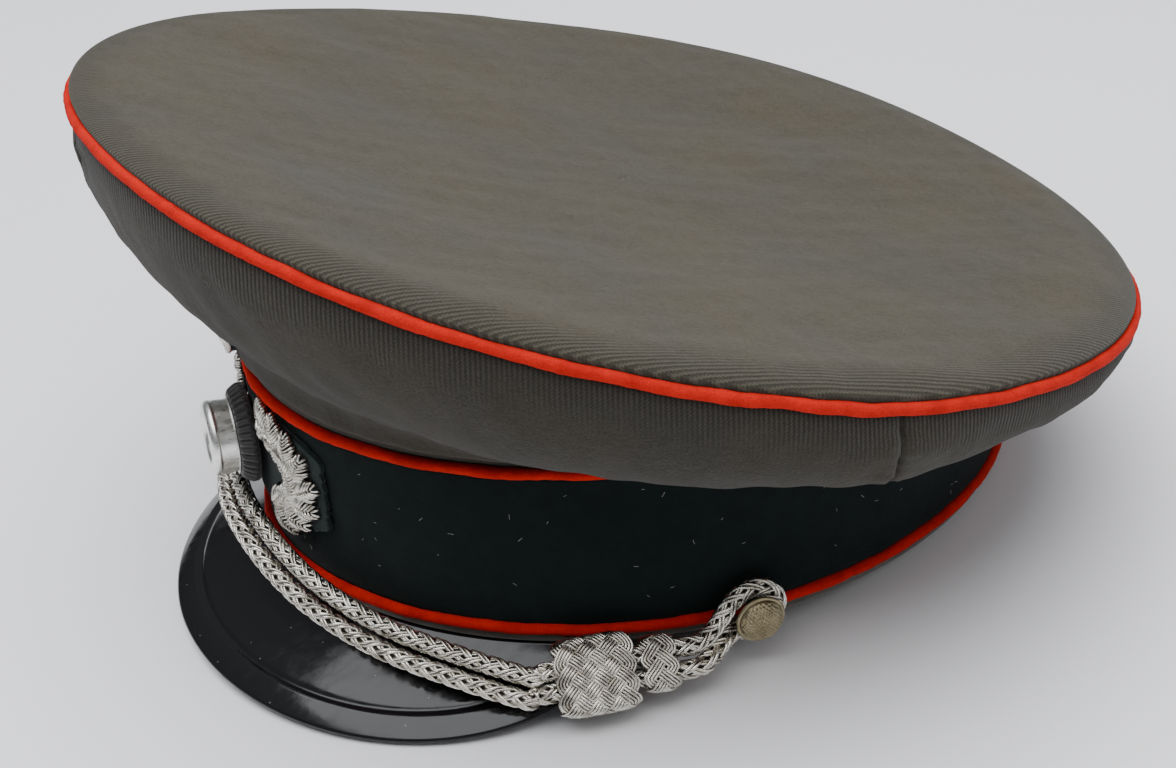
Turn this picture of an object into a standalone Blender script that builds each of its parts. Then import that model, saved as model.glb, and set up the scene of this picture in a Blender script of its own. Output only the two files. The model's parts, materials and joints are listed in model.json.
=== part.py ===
"""Military peaked cap, built as the separate pieces a cap maker would cut, mould and sew.

Metres, +Z up.  The cap stands as it does on a table: the peak's edge and the back of the
band touch it.  Pieces are shaped in the band's own frame and then tilted together.

Band frame: -Y is the wearer's front, +X the wearer's left, Z runs up from the band's lower
edge.  Angles run round the band from the front (0) over the left side (90 degrees).
"""

import math

import bmesh
import bpy
from mathutils import Matrix, Vector

# ---- Band ---------------------------------------------------------------------------------
BAND_HALF_LENGTH = 0.1072      # front to back, to the cloth's outer face
BAND_HALF_WIDTH = 0.0825
BAND_FRONT_FULLNESS = 0.064    # the oval is a little wider in front
BAND_CURVE_POWER = 1.04
BAND_FLARE = 0.0012            # the top of the band stands out by this much
LOWER_PIPING_Z = 0.0040
UPPER_PIPING_Z = 0.0505
PIPING_RADIUS = 0.0015
CLOTH = 0.0012                 # felt and tricot thickness
BOARD = 0.0012                 # fibre board inside the band
PANEL_EDGE = 0.0009            # room between a piping and the crown cloth sewn to it

# ---- Crown --------------------------------------------------------------------------------
RIM_HALF_LENGTH = 0.1361
RIM_HALF_WIDTH = 0.1320
RIM_CENTRE_Y = -0.0044
RIM_CURVE_POWER = 1.081
RIM_WAVES_Z = (0.0902, 0.0344, 0.0026, 0.0017, -0.0004)   # height of the rim, cosine terms
RIM_BACK_FULLNESS = 0.032
RIM_SIDE_WAVE = 0.0268
RIM_Y_WAVE = -0.0017
TOP_DISH = 0.010               # how far the middle of the top sags
TOP_ROLL = 0.0045              # how far the top rolls up over the crown wire
TOP_ROLL_WIDTH = 0.11          # share of the radius that the roll takes
TOP_RISE = 0.0008              # how far the top's edge clears the piping
WIRE_RADIUS = 0.0015
WIRE_INSET = 0.0075
WIRE_RISE = 0.0010
PANEL_GAP = 0.0004             # seam between neighbouring side panels
SIDE_SEAM = math.radians(97.0)   # the side seams lie a little behind the middle
# The crown's side is a Bezier curve from the band to the rim that folds over in front.  These
# are the cosine terms of its two inner points: up and out from the band, down and out from the rim.
SIDE_LOW_UP = (0.00774, 0.00503, 0.00137)
SIDE_LOW_OUT = (0.00011, -0.00482)
SIDE_HIGH_DOWN = (0.02709, 0.01689, -0.00815)
SIDE_HIGH_OUT = (0.00489, 0.00115, -0.00112)

STAY_HALF_ANGLE = math.radians(15.0)   # canvas that holds the front up, behind the side cloth
STAY_S = (0.36, 0.88)
STAY_THICKNESS = 0.0009

# ---- Lining and sweatband -------------------------------------------------------------------
LINING = 0.0005
LINING_TAIL_OUT = -0.0044      # the tail hangs between the sweatband and the board
LINING_TAIL_Z = (0.0375, UPPER_PIPING_Z + 0.0047)
LINING_SIDE_SHARE = 0.905      # where the side meets the top, as a share of the rim
LINING_TOP_SHARE = 0.893
LINING_STEP = 0.0013           # the side's upper edge tucks under the top by this much
SHIELD_SHARE = 0.42
SHIELD_THICKNESS = 0.0004
SHIELD_BELOW = 0.0010
SWEATBAND_THICKNESS = 0.0011
SWEATBAND_OUT = (-0.0050, -0.0060)     # lower edge, upper edge
SWEATBAND_Z = (0.0006, 0.0416)
SWEATBAND_OPENING = 0.010              # half the gap at the back, as an angle
TAPE_HALF_ANGLE = 0.07
TAPE_Z = (0.003, 0.036)
TAPE_OUT = -0.0039

# ---- Peak ---------------------------------------------------------------------------------
PEAK_DEPTH = 0.0345
PEAK_HALF_ANGLE = math.radians(70.0)
PEAK_SLOPE_FRONT = math.radians(34.0)
PEAK_SLOPE_CORNER = math.radians(42.0)
PEAK_THICKNESS = 0.0018

# ---- Buttons, cord and knots ----------------------------------------------------------------
BUTTON_ANGLE = math.radians(87.6)
BUTTON_Z = 0.0064
BUTTON_RADIUS = 0.0065
BUTTON_BASE_OUT = 0.0078
SHANK_RADIUS = 0.0009
CORD_RADIUS = 0.0026
CORD_SPACING = 0.0056          # between the centres of the two runs
CORD_LEAN = math.radians(41.0)   # the two runs lie back against the band
LOOP_RADIUS = 0.0064           # centre line of the loop round a button
LOOP_OUT = 0.0040              # from the band's cloth to the loop's centre line
KNOT_SIZE = Vector((0.0205, 0.0200, 0.0094))
KEEPER_SIZE = Vector((0.0095, 0.0146, 0.0090))
KNOT_CLEARANCE = 0.0004
KNOT_ANGLE = math.radians(65.6)        # where the large knots sit round the band
KNOT_HEADING = math.radians(67.0)      # the cord runs along the band's tangent here
KNOT_INWARD = 0.13                     # and leans in towards the button by this much
KNOT_RISE = 0.06
KNOT_RUN_BEFORE = 0.0178               # straight cord in front of the large knot
KNOT_RUN_BEHIND = 0.0245
KEEPER_BEHIND = 0.0158                 # from the large knot to the keeper

# ---- Badges -------------------------------------------------------------------------------
COCKADE_Z = 0.0335
ROSETTE_RADIUS = 0.0130
BOSS_RADIUS = 0.0102
BOSS_HEIGHT = 0.0070
COCKADE_PIN_RADIUS = 0.0008
WREATH_Z = 0.0315              # the middle of the wreath's backing
WREATH_HALF_HEIGHT = 0.0150
WREATH_HALF_SPAN = math.radians(24.5)
BADGE_FELT = 0.0012
BRANCH_DEPTH = 0.0024
PATCH_CENTRE_S = 0.27          # place of the crown patch up the front panel, 0 low to 1 high

GAP = 0.0003                   # what touching pieces keep between their faces
RING_STEPS = 56

PARTS = "peaked_cap"
CUTTERS = "cutters"


# ---- Scene and materials --------------------------------------------------------------------
def clear_scene():
    for old in list(bpy.data.objects):
        bpy.data.objects.remove(old, do_unlink=True)


def new_collection(name):
    collection = bpy.data.collections.new(name)
    bpy.context.scene.collection.children.link(collection)
    return collection


def make_material(name, colour, roughness, metallic=0.0, alpha=1.0):
    material = bpy.data.materials.new(name)
    material.use_nodes = True
    shader = material.node_tree.nodes["Principled BSDF"]
    shader.inputs["Base Color"].default_value = (*colour, 1.0)
    shader.inputs["Roughness"].default_value = roughness
    shader.inputs["Metallic"].default_value = metallic
    shader.inputs["Alpha"].default_value = alpha
    return material


def make_materials():
    return {
        "crown_cloth": make_material("crown_cloth", (0.095, 0.095, 0.078), 0.95),
        "piping_felt": make_material("piping_felt", (0.62, 0.045, 0.010), 0.9),
        "band_felt": make_material("band_felt", (0.004, 0.016, 0.014), 0.95),
        "stiffener_board": make_material("stiffener_board", (0.32, 0.25, 0.16), 0.9),
        "sweatband_leather": make_material("sweatband_leather", (0.35, 0.21, 0.11), 0.6),
        "lining_satin": make_material("lining_satin", (0.34, 0.27, 0.16), 0.45),
        "shield_film": make_material("shield_film", (0.85, 0.85, 0.80), 0.15, 0.0, 0.35),
        "steel_wire": make_material("steel_wire", (0.45, 0.45, 0.45), 0.4, 1.0),
        "peak_fibre": make_material("peak_fibre", (0.006, 0.006, 0.007), 0.18),
        "silver_cord": make_material("silver_cord", (0.60, 0.58, 0.52), 0.4, 0.9),
        "button_metal": make_material("button_metal", (0.36, 0.33, 0.22), 0.5, 0.9),
        "boss_metal": make_material("boss_metal", (0.68, 0.68, 0.66), 0.3, 1.0),
        "rosette_silk": make_material("rosette_silk", (0.012, 0.011, 0.011), 0.6),
    }


# ---- Curves that the cap is cut to ------------------------------------------------------------
def signed_power(value, power):
    return math.copysign(abs(value) ** power, value)


def between(ends, share):
    low, high = ends
    return low + (high - low) * share


def wave(terms, angle):
    """A length that changes round the cap: the sum of its cosine terms."""
    return sum(height * math.cos(order * angle) for order, height in enumerate(terms))


def band_outline(angle, z):
    """The band cloth's outer face, without any offset."""
    flare = BAND_FLARE * z / UPPER_PIPING_Z
    sine = signed_power(math.sin(angle), BAND_CURVE_POWER)
    cosine = signed_power(math.cos(angle), BAND_CURVE_POWER)
    x = (BAND_HALF_WIDTH + flare) * sine * (1.0 + BAND_FRONT_FULLNESS * math.cos(angle))
    y = -(BAND_HALF_LENGTH + flare) * cosine
    return Vector((x, y, z))


def band_outward(angle):
    """Horizontal unit vector pointing straight out of the band."""
    step = 0.001
    along = band_outline(angle + step, 0.0) - band_outline(angle - step, 0.0)
    return Vector((along.y, -along.x, 0.0)).normalized()


def band_point(angle, z, out=0.0):
    return band_outline(angle, z) + band_outward(angle) * out


def rim_point(angle, share=1.0):
    """The centre line of the crown piping; a smaller share gives the same curve inside it."""
    sine = signed_power(math.sin(angle), RIM_CURVE_POWER)
    cosine = signed_power(math.cos(angle), RIM_CURVE_POWER)
    fullness = 1.0 - RIM_BACK_FULLNESS * math.cos(angle)
    x = RIM_HALF_WIDTH * (sine * fullness + RIM_SIDE_WAVE * math.sin(3.0 * angle))
    y = -RIM_HALF_LENGTH * cosine + RIM_Y_WAVE * math.cos(2.0 * angle)
    z = sum(
        height * share ** order * math.cos(order * angle)
        for order, height in enumerate(RIM_WAVES_Z)
    )
    return Vector((x * share, RIM_CENTRE_Y + y * share, z))


def crown_side_outline(angle, s):
    """Outer face of the crown's side, from the band (s = 0) to the rim (s = 1)."""
    foot = band_point(angle, UPPER_PIPING_Z + PIPING_RADIUS + PANEL_EDGE, -GAP)
    head = rim_point(angle) - Vector((0.0, 0.0, PIPING_RADIUS + PANEL_EDGE))
    out = Vector((head.x - foot.x, head.y - foot.y, 0.0)).normalized()
    up = Vector((0.0, 0.0, 1.0))
    low = foot + up * wave(SIDE_LOW_UP, angle) + out * wave(SIDE_LOW_OUT, angle)
    high = head - up * wave(SIDE_HIGH_DOWN, angle) + out * wave(SIDE_HIGH_OUT, angle)
    return (
        foot * (1.0 - s) ** 3
        + low * 3.0 * s * (1.0 - s) ** 2
        + high * 3.0 * s ** 2 * (1.0 - s)
        + head * s ** 3
    )


def crown_side_point(angle, s, inward=0.0):
    """A point inside the crown's side, measured square to its outer face."""
    step = 0.004
    around = crown_side_outline(angle + step, s) - crown_side_outline(angle - step, s)
    rise = crown_side_outline(angle, s + step) - crown_side_outline(angle, s - step)
    normal = around.cross(rise).normalized()
    return crown_side_outline(angle, s) - normal * inward


def crown_top_point(angle, share, below=0.0):
    """Upper face of the crown's top; share runs from 0 in the middle to 1 at the rim."""
    point = rim_point(angle, share)
    edge = max(0.0, (share - (1.0 - TOP_ROLL_WIDTH)) / TOP_ROLL_WIDTH)
    roll = TOP_ROLL * math.cos(edge * math.pi / 2.0) ** 0.5 if edge < 1.0 else 0.0
    dish = TOP_DISH * (1.0 - share ** 2)
    point.z += PIPING_RADIUS + TOP_RISE + roll - dish - below
    return point


def peak_width(angle):
    share = min(1.0, abs(angle) / PEAK_HALF_ANGLE)
    return PEAK_DEPTH * (1.0 - share ** 3.5) ** 0.80


def peak_point(angle, distance):
    """Upper face of the peak, a distance down its slope from the band."""
    share = min(1.0, abs(angle) / PEAK_HALF_ANGLE)
    slope = PEAK_SLOPE_FRONT + (PEAK_SLOPE_CORNER - PEAK_SLOPE_FRONT) * share ** 2
    root = band_point(angle, -0.0006)
    return root + band_outward(angle) * distance * math.cos(slope) - Vector(
        (0.0, 0.0, distance * math.sin(slope))
    )


# ---- Makers -----------------------------------------------------------------------------------
def add_object(name, data, material, parent, collection):
    made = bpy.data.objects.new(name, data)
    collection.objects.link(made)
    if material is not None:
        data.materials.append(material)
    made.parent = parent
    return made


def bent_sheet(name, place, across, along, thickness, material, parent, collection):
    """A sheet of even thickness: a grid whose points are put where place(u, v) says."""
    mesh = bpy.data.meshes.new(name)
    bm = bmesh.new()
    bmesh.ops.create_grid(bm, x_segments=across, y_segments=along, size=0.5)
    for vertex in bm.verts:
        vertex.co = place(vertex.co.x + 0.5, vertex.co.y + 0.5)
    bmesh.ops.remove_doubles(bm, verts=bm.verts, dist=0.00001)
    bm.to_mesh(mesh)
    bm.free()
    made = add_object(name, mesh, material, parent, collection)
    solid = made.modifiers.new("thickness", "SOLIDIFY")
    solid.thickness = thickness
    solid.offset = -1.0
    mesh.shade_smooth()
    return made


def band_ring(name, bottom, top, out, thickness, rows, material, parent, collection):
    """A strip that runs all the way round the band."""
    def place(u, v):
        return band_point(u * math.tau, bottom + (top - bottom) * v, out)

    return bent_sheet(name, place, RING_STEPS, rows, thickness, material, parent, collection)


def closed_tube(name, points, radius, material, parent, collection, resolution=1):
    curve = bpy.data.curves.new(name, "CURVE")
    curve.dimensions = "3D"
    curve.bevel_depth = radius
    curve.bevel_resolution = resolution
    curve.render_resolution_u = 0
    spline = curve.splines.new("POLY")
    spline.points.add(len(points) - 1)
    for spline_point, point in zip(spline.points, points):
        spline_point.co = (*point, 1.0)
    spline.use_cyclic_u = True
    return add_object(name, curve, material, parent, collection)


def turned(name, profile, steps, material, parent, collection):
    """A turned piece: the profile, given as (radius, height) from top to bottom, spun round Z."""
    mesh = bpy.data.meshes.new(name)
    bm = bmesh.new()
    verts = [bm.verts.new((radius, 0.0, height)) for radius, height in profile]
    for first, second in zip(verts, verts[1:]):
        bm.edges.new((first, second))
    if profile[0][0] > 0.0:
        bm.edges.new((verts[-1], verts[0]))
    bm.to_mesh(mesh)
    bm.free()
    made = add_object(name, mesh, material, parent, collection)
    screw = made.modifiers.new("turn", "SCREW")
    screw.steps = steps
    screw.render_steps = steps
    screw.use_merge_vertices = True
    screw.merge_threshold = 0.00001
    return made


def cutter(name, make_shape, parent, collection):
    """A hidden solid that only takes material away."""
    mesh = bpy.data.meshes.new(name)
    bm = bmesh.new()
    make_shape(bm)
    bm.to_mesh(mesh)
    bm.free()
    made = add_object(name, mesh, None, parent, collection)
    made.hide_render = True
    made.display_type = "WIRE"
    return made


def cut(target, tool):
    boolean = target.modifiers.new("cut_" + tool.name, "BOOLEAN")
    boolean.operation = "DIFFERENCE"
    boolean.solver = "EXACT"
    boolean.object = tool


def aimed(position, z_axis, x_hint):
    """A frame at position whose Z points along z_axis and whose X leans towards x_hint."""
    z = z_axis.normalized()
    y = z.cross(x_hint).normalized()
    x = y.cross(z)
    turn = Matrix((x, y, z)).transposed().to_4x4()
    return Matrix.Translation(position) @ turn


def empty_at(name, matrix, parent, collection):
    made = bpy.data.objects.new(name, None)
    collection.objects.link(made)
    made.parent = parent
    made.matrix_basis = matrix
    return made


# ---- Crown ------------------------------------------------------------------------------------
def make_crown(parent, parts, materials):
    def top(u, v):
        return crown_top_point(u * math.tau, (1.0 - v * v) * 0.997)

    bent_sheet("crown_top", top, RING_STEPS, 8, CLOTH, materials["crown_cloth"], parent, parts)

    half_gap = PANEL_GAP / (2.0 * BAND_HALF_WIDTH)
    quarters = {
        "crown_side_front_left": (0.0, SIDE_SEAM),
        "crown_side_rear_left": (SIDE_SEAM, math.pi),
        "crown_side_rear_right": (math.pi, math.tau - SIDE_SEAM),
        "crown_side_front_right": (math.tau - SIDE_SEAM, math.tau),
    }
    for name, (start, end) in quarters.items():
        def panel(u, v, start=start + half_gap, end=end - half_gap):
            return crown_side_point(start + (end - start) * u, v)

        bent_sheet(name, panel, 14, 7, CLOTH, materials["crown_cloth"], parent, parts)

    rim = [rim_point(math.tau * step / RING_STEPS) for step in range(RING_STEPS)]
    closed_tube("crown_piping", rim, PIPING_RADIUS, materials["piping_felt"], parent, parts)

    inset = 1.0 - WIRE_INSET / RIM_HALF_LENGTH
    wire = [
        rim_point(math.tau * step / RING_STEPS, inset) + Vector((0.0, 0.0, WIRE_RISE))
        for step in range(RING_STEPS)
    ]
    closed_tube("crown_wire", wire, WIRE_RADIUS, materials["steel_wire"], parent, parts)

    def stay(u, v):
        angle = STAY_HALF_ANGLE * (2.0 * u - 1.0)
        return crown_side_point(angle, between(STAY_S, v), CLOTH + 2.5 * GAP)

    board = materials["stiffener_board"]
    bent_sheet("front_stay", stay, 6, 6, STAY_THICKNESS, board, parent, parts)


def lining_drop(angle, share):
    """How far the lining hangs below the crown's upper face; there is least room at the back."""
    return 0.0062 + 0.0023 * math.cos(angle) * share


def make_lining(parent, parts, materials):
    rows = 3

    def side(u, v):
        angle = u * math.tau
        row = round(v * rows)
        if row < 2:
            return band_point(angle, LINING_TAIL_Z[row], LINING_TAIL_OUT)
        drop = lining_drop(angle, LINING_SIDE_SHARE) + LINING_STEP
        head = crown_top_point(angle, LINING_SIDE_SHARE, drop)
        tail = band_point(angle, LINING_TAIL_Z[1], LINING_TAIL_OUT)
        return tail.lerp(head, (row - 1) / (rows - 1))

    satin = materials["lining_satin"]
    bent_sheet("lining_side", side, 40, rows, LINING, satin, parent, parts)

    def top(u, v):
        angle, share = u * math.tau, LINING_TOP_SHARE * (1.0 - v)
        return crown_top_point(angle, share, lining_drop(angle, share))

    bent_sheet("lining_top", top, 40, 4, LINING, satin, parent, parts)

    def shield(u, v):
        angle, share = u * math.tau, SHIELD_SHARE * (1.0 - v)
        return crown_top_point(angle, share, lining_drop(angle, share) + SHIELD_BELOW)

    film = materials["shield_film"]
    bent_sheet("sweat_shield", shield, 24, 2, SHIELD_THICKNESS, film, parent, parts)


# ---- Band and peak ------------------------------------------------------------------------------
def make_band(parent, parts, materials):
    cloth_bottom = LOWER_PIPING_Z + PIPING_RADIUS + GAP
    cloth_top = UPPER_PIPING_Z - PIPING_RADIUS - GAP
    felt = materials["band_felt"]
    made = {}
    made["band_cloth"] = band_ring(
        "band_cloth", cloth_bottom, cloth_top, 0.0, CLOTH, 1, felt, parent, parts
    )
    edge_top = LOWER_PIPING_Z - PIPING_RADIUS - GAP
    band_ring(
        "band_edge_cloth", 0.0, edge_top, 0.0, CLOTH, 1, materials["crown_cloth"], parent, parts
    )
    made["band_stiffener"] = band_ring(
        "band_stiffener", 0.0004, 0.0480, -CLOTH - GAP, BOARD, 1,
        materials["stiffener_board"], parent, parts,
    )
    for name, height in (
        ("band_upper_piping", UPPER_PIPING_Z),
        ("band_lower_piping", LOWER_PIPING_Z),
    ):
        ring = [
            band_point(math.tau * step / RING_STEPS, height, 0.0004)
            for step in range(RING_STEPS)
        ]
        closed_tube(name, ring, PIPING_RADIUS, materials["piping_felt"], parent, parts)

    def sweatband(u, v):
        angle = math.pi + SWEATBAND_OPENING + (math.tau - 2.0 * SWEATBAND_OPENING) * u
        return band_point(angle, between(SWEATBAND_Z, v), between(SWEATBAND_OUT, v))

    leather = materials["sweatband_leather"]
    bent_sheet(
        "sweatband", sweatband, RING_STEPS, 1, SWEATBAND_THICKNESS, leather, parent, parts
    )

    def tape(u, v):
        angle = math.pi + TAPE_HALF_ANGLE * (2.0 * u - 1.0)
        return band_point(angle, between(TAPE_Z, v), TAPE_OUT)

    bent_sheet("sweatband_tape", tape, 4, 1, LINING, leather, parent, parts)
    return made


def make_peak(parent, parts, materials):
    flange_out, flange_top = -0.0031, 0.0060
    flange_rows = 0.3

    def peak(u, v):
        angle = (1.0 - 2.0 * u) * PEAK_HALF_ANGLE * 0.985
        if v < 0.05:
            return band_point(angle, flange_top, flange_out)
        if v < flange_rows:
            return band_point(angle, -0.0006, flange_out)
        share = (v - flange_rows) / (1.0 - flange_rows)
        return peak_point(angle, peak_width(angle) * share)

    bent_sheet(
        "peak", peak, 36, 7, PEAK_THICKNESS, materials["peak_fibre"], parent, parts
    )


# ---- Buttons, cord and knots ----------------------------------------------------------------------
def button_frame(side):
    place = band_point(BUTTON_ANGLE, BUTTON_Z)
    place.x *= side
    return aimed(place, Vector((side, 0.0, 0.0)), Vector((0.0, 0.0, 1.0)))


def make_buttons(parent, parts, cutters, materials, band_pieces):
    rise = 0.0034
    dome = [
        (BUTTON_RADIUS * math.sin(step * math.pi / 12.0),
         BUTTON_BASE_OUT + 0.0008 + rise * math.cos(step * math.pi / 12.0))
        for step in range(7)
    ]
    dome += [(BUTTON_RADIUS, BUTTON_BASE_OUT), (0.0, BUTTON_BASE_OUT)]
    washer_face = -CLOTH - BOARD - 2.0 * GAP
    shank = [
        (0.0, BUTTON_BASE_OUT - GAP),
        (SHANK_RADIUS, BUTTON_BASE_OUT - GAP),
        (SHANK_RADIUS, washer_face - 0.0008),
        (0.0024, washer_face - 0.0008),
        (0.0024, washer_face - 0.0012),
        (0.0, washer_face - 0.0012),
    ]
    washer = [
        (SHANK_RADIUS + GAP, washer_face),
        (0.0040, washer_face),
        (0.0040, washer_face - 0.0005),
        (SHANK_RADIUS + GAP, washer_face - 0.0005),
    ]
    for name, side in (("left", 1.0), ("right", -1.0)):
        frame = empty_at("button_seat_" + name, button_frame(side), parent, parts)
        metal = materials["button_metal"]
        turned("side_button_" + name, dome, 24, metal, frame, parts)
        turned("button_shank_" + name, shank, 12, materials["steel_wire"], frame, parts)
        turned("button_washer_" + name, washer, 20, materials["steel_wire"], frame, parts)

        def hole(bm):
            bmesh.ops.create_cone(
                bm, cap_ends=True, segments=16, depth=0.012,
                radius1=SHANK_RADIUS + GAP, radius2=SHANK_RADIUS + GAP,
            )

        drill = cutter("button_hole_" + name, hole, frame, cutters)
        for piece in band_pieces.values():
            cut(piece, drill)


def smooth_route(stops, per_span):
    """Catmull-Rom curve through the stops."""
    points = []
    for index in range(1, len(stops) - 2):
        before, start, end, after = stops[index - 1:index + 3]
        for step in range(per_span):
            t = step / per_span
            points.append(0.5 * (
                start * 2.0
                + (end - before) * t
                + (before * 2.0 - start * 5.0 + end * 4.0 - after) * t * t
                + (start * 3.0 - before - end * 3.0 + after) * t ** 3
            ))
    points.append(stops[-2])
    return points


def knot_direction():
    """The knots ride on a straight stretch of cord that comes in towards the button."""
    outward = band_outward(KNOT_HEADING)
    around = outward.cross(Vector((0.0, 0.0, -1.0)))
    return (around - outward * KNOT_INWARD + Vector((0.0, 0.0, KNOT_RISE))).normalized()


KNOT_PLACE = band_point(KNOT_ANGLE, -0.0012, 0.0118)
KNOT_AXIS = knot_direction()
KNOT_RUN_START = KNOT_PLACE - KNOT_AXIS * KNOT_RUN_BEFORE
KNOT_RUN_END = KNOT_PLACE + KNOT_AXIS * KNOT_RUN_BEHIND
KEEPER_PLACE = KNOT_PLACE + KNOT_AXIS * KEEPER_BEHIND


def cord_centre_line():
    """From the middle of the front to the straight run that carries the left knots."""
    front = [
        band_point(math.radians(angle), z, out)
        for angle, z, out in (
            (-9.0, 0.0132, 0.0094), (0.0, 0.0140, 0.0092), (9.0, 0.0132, 0.0094),
            (17.0, 0.0100, 0.0096), (25.0, 0.0064, 0.0099), (34.0, 0.0030, 0.0104),
            (43.0, 0.0004, 0.0112),
        )
    ]
    straight = [
        KNOT_RUN_START.lerp(KNOT_RUN_END, share) for share in (0.0, 0.1, 0.5, 0.9, 1.0)
    ]
    return smooth_route(front + straight + [KNOT_RUN_END + KNOT_AXIS * 0.01], 3)


def cord_stack_direction(centre):
    """Which way the upper of the two runs lies from the cord's middle."""
    inward = Vector((-centre.x, -centre.y, 0.0)).normalized()
    return Vector((0.0, 0.0, math.cos(CORD_LEAN))) + inward * math.sin(CORD_LEAN)


def half_cord():
    """Left half of the closed cord: out along the upper run, round the button, back below."""
    centres = cord_centre_line()
    upper = [point + cord_stack_direction(point) * CORD_SPACING / 2.0 for point in centres]
    lower = [point - cord_stack_direction(point) * CORD_SPACING / 2.0 for point in centres]
    pivot = band_point(BUTTON_ANGLE, BUTTON_Z, 0.0)
    pivot.x += LOOP_OUT
    loop = []
    for step in range(13):
        turn = math.radians(112.0 - 224.0 * step / 12.0)
        loop.append(pivot + Vector((
            0.0,
            LOOP_RADIUS * math.cos(turn),
            LOOP_RADIUS * math.sin(turn),
        )))
    return (
        upper + bridge(upper[-2], upper[-1], loop[0], loop[1])
        + loop
        + bridge(loop[-2], loop[-1], lower[-1], lower[-2])
        + lower[::-1]
    )


def bridge(before, start, end, after):
    """A smooth join between a straight run and the loop, without its own ends."""
    reach = (end - start).length * 0.33
    out = start + (start - before).normalized() * reach
    back = end + (end - after).normalized() * reach
    return [
        start * (1.0 - t) ** 3 + out * 3.0 * t * (1.0 - t) ** 2
        + back * 3.0 * t ** 2 * (1.0 - t) + end * t ** 3
        for t in (0.2, 0.4, 0.6, 0.8)
    ]


def mirrored(points):
    return [Vector((-point.x, point.y, point.z)) for point in points]


def make_cord(lift, parts, materials):
    left = half_cord()
    # the front points are shared with the right half, so each half starts just past the middle
    right = mirrored(left)[::-1]
    route = left[:-1] + right[:-1]
    axis = lift.location
    closed_tube(
        "chin_cord", [point - axis for point in route], CORD_RADIUS,
        materials["silver_cord"], lift, parts, 2,
    )


def rounded_block(name, size, bevel, material, parent, collection):
    mesh = bpy.data.meshes.new(name)
    bm = bmesh.new()
    bmesh.ops.create_cube(bm, size=1.0)
    bmesh.ops.scale(bm, vec=size, verts=bm.verts)
    bm.to_mesh(mesh)
    bm.free()
    made = add_object(name, mesh, material, parent, collection)
    round_off = made.modifiers.new("round_off", "BEVEL")
    round_off.width = bevel
    round_off.segments = 2
    return made


def make_knots(lift, parts, cutters, materials):
    """The knots' X runs along the cord and their Y runs across its two runs."""
    axis_centre = lift.location
    for name, size, place, bevel in (
        ("slide_knot", KNOT_SIZE, KNOT_PLACE, 0.0034),
        ("keeper_knot", KEEPER_SIZE, KEEPER_PLACE, 0.0028),
    ):
        for side_name, side in (("left", 1.0), ("right", -1.0)):
            along = Vector((KNOT_AXIS.x * side, KNOT_AXIS.y, KNOT_AXIS.z))
            centre = Vector((place.x * side, place.y, place.z))
            stack = cord_stack_direction(place)
            stack.x *= side
            face = along.cross(stack)
            turn = Matrix((along, face.cross(along).normalized(), face.normalized()))
            frame = Matrix.Translation(centre - axis_centre) @ turn.transposed().to_4x4()
            holder = empty_at(f"{name}_slide_{side_name}", frame, lift, parts)
            made = rounded_block(
                f"{name}_{side_name}", size, bevel, materials["silver_cord"], holder, parts
            )

            def hole(bm, size=size):
                bmesh.ops.create_cube(bm, size=1.0)
                across = CORD_SPACING + 2.0 * (CORD_RADIUS + KNOT_CLEARANCE)
                through = 2.0 * (CORD_RADIUS + KNOT_CLEARANCE)
                bmesh.ops.scale(bm, vec=(size.x * 2.0, across, through), verts=bm.verts)

            cut(made, cutter(f"{name}_hole_{side_name}", hole, holder, cutters))


# ---- Badges -----------------------------------------------------------------------------------
def make_cockade(parent, parts, cutters, materials, pinned_pieces):
    place = band_point(0.0, COCKADE_Z)
    seat = empty_at(
        "cockade_seat", aimed(place, Vector((0.0, -1.0, 0.0)), Vector((0.0, 0.0, 1.0))),
        parent, parts,
    )
    pin_gap = COCKADE_PIN_RADIUS + GAP
    rosette_back, rosette_front = 0.0024, 0.0072
    rosette = [
        (pin_gap, rosette_front),
        (BOSS_RADIUS + 0.0002, rosette_front),
        (ROSETTE_RADIUS, rosette_back + 0.0016),
        (ROSETTE_RADIUS - 0.0006, rosette_back),
        (pin_gap, rosette_back),
    ]
    turned("cockade_rosette", rosette, 28, materials["rosette_silk"], seat, parts)
    base = rosette_front + GAP
    face = base + BOSS_HEIGHT
    boss = [
        (0.0, face - 0.0022),
        (BOSS_RADIUS - 0.0026, face - 0.0022),
        (BOSS_RADIUS - 0.0020, face - 0.0004),
        (BOSS_RADIUS - 0.0010, face),
        (BOSS_RADIUS - 0.0002, face - 0.0008),
        (BOSS_RADIUS, face - 0.0022),
        (BOSS_RADIUS - 0.0003, base),
        (0.0, base),
    ]
    turned("cockade_boss", boss, 28, materials["boss_metal"], seat, parts)
    centre = [
        (0.0, face - 0.0004),
        (BOSS_RADIUS - 0.0042, face - 0.0006),
        (BOSS_RADIUS - 0.0034, face - 0.0022 + GAP),
        (0.0, face - 0.0022 + GAP),
    ]
    turned("cockade_centre", centre, 20, materials["rosette_silk"], seat, parts)
    inner = -CLOTH - BOARD - 2.0 * GAP
    pin = [
        (0.0, base - GAP),
        (COCKADE_PIN_RADIUS, base - GAP),
        (COCKADE_PIN_RADIUS, inner),
        (0.0030, inner),
        (0.0030, inner - 0.0004),
        (0.0, inner - 0.0004),
    ]
    turned("cockade_pin", pin, 12, materials["steel_wire"], seat, parts)

    def hole(bm):
        bmesh.ops.create_cone(
            bm, cap_ends=True, segments=16, depth=0.012, radius1=pin_gap, radius2=pin_gap,
        )

    drill = cutter("cockade_hole", hole, seat, cutters)
    for piece in pinned_pieces:
        cut(piece, drill)


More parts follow.
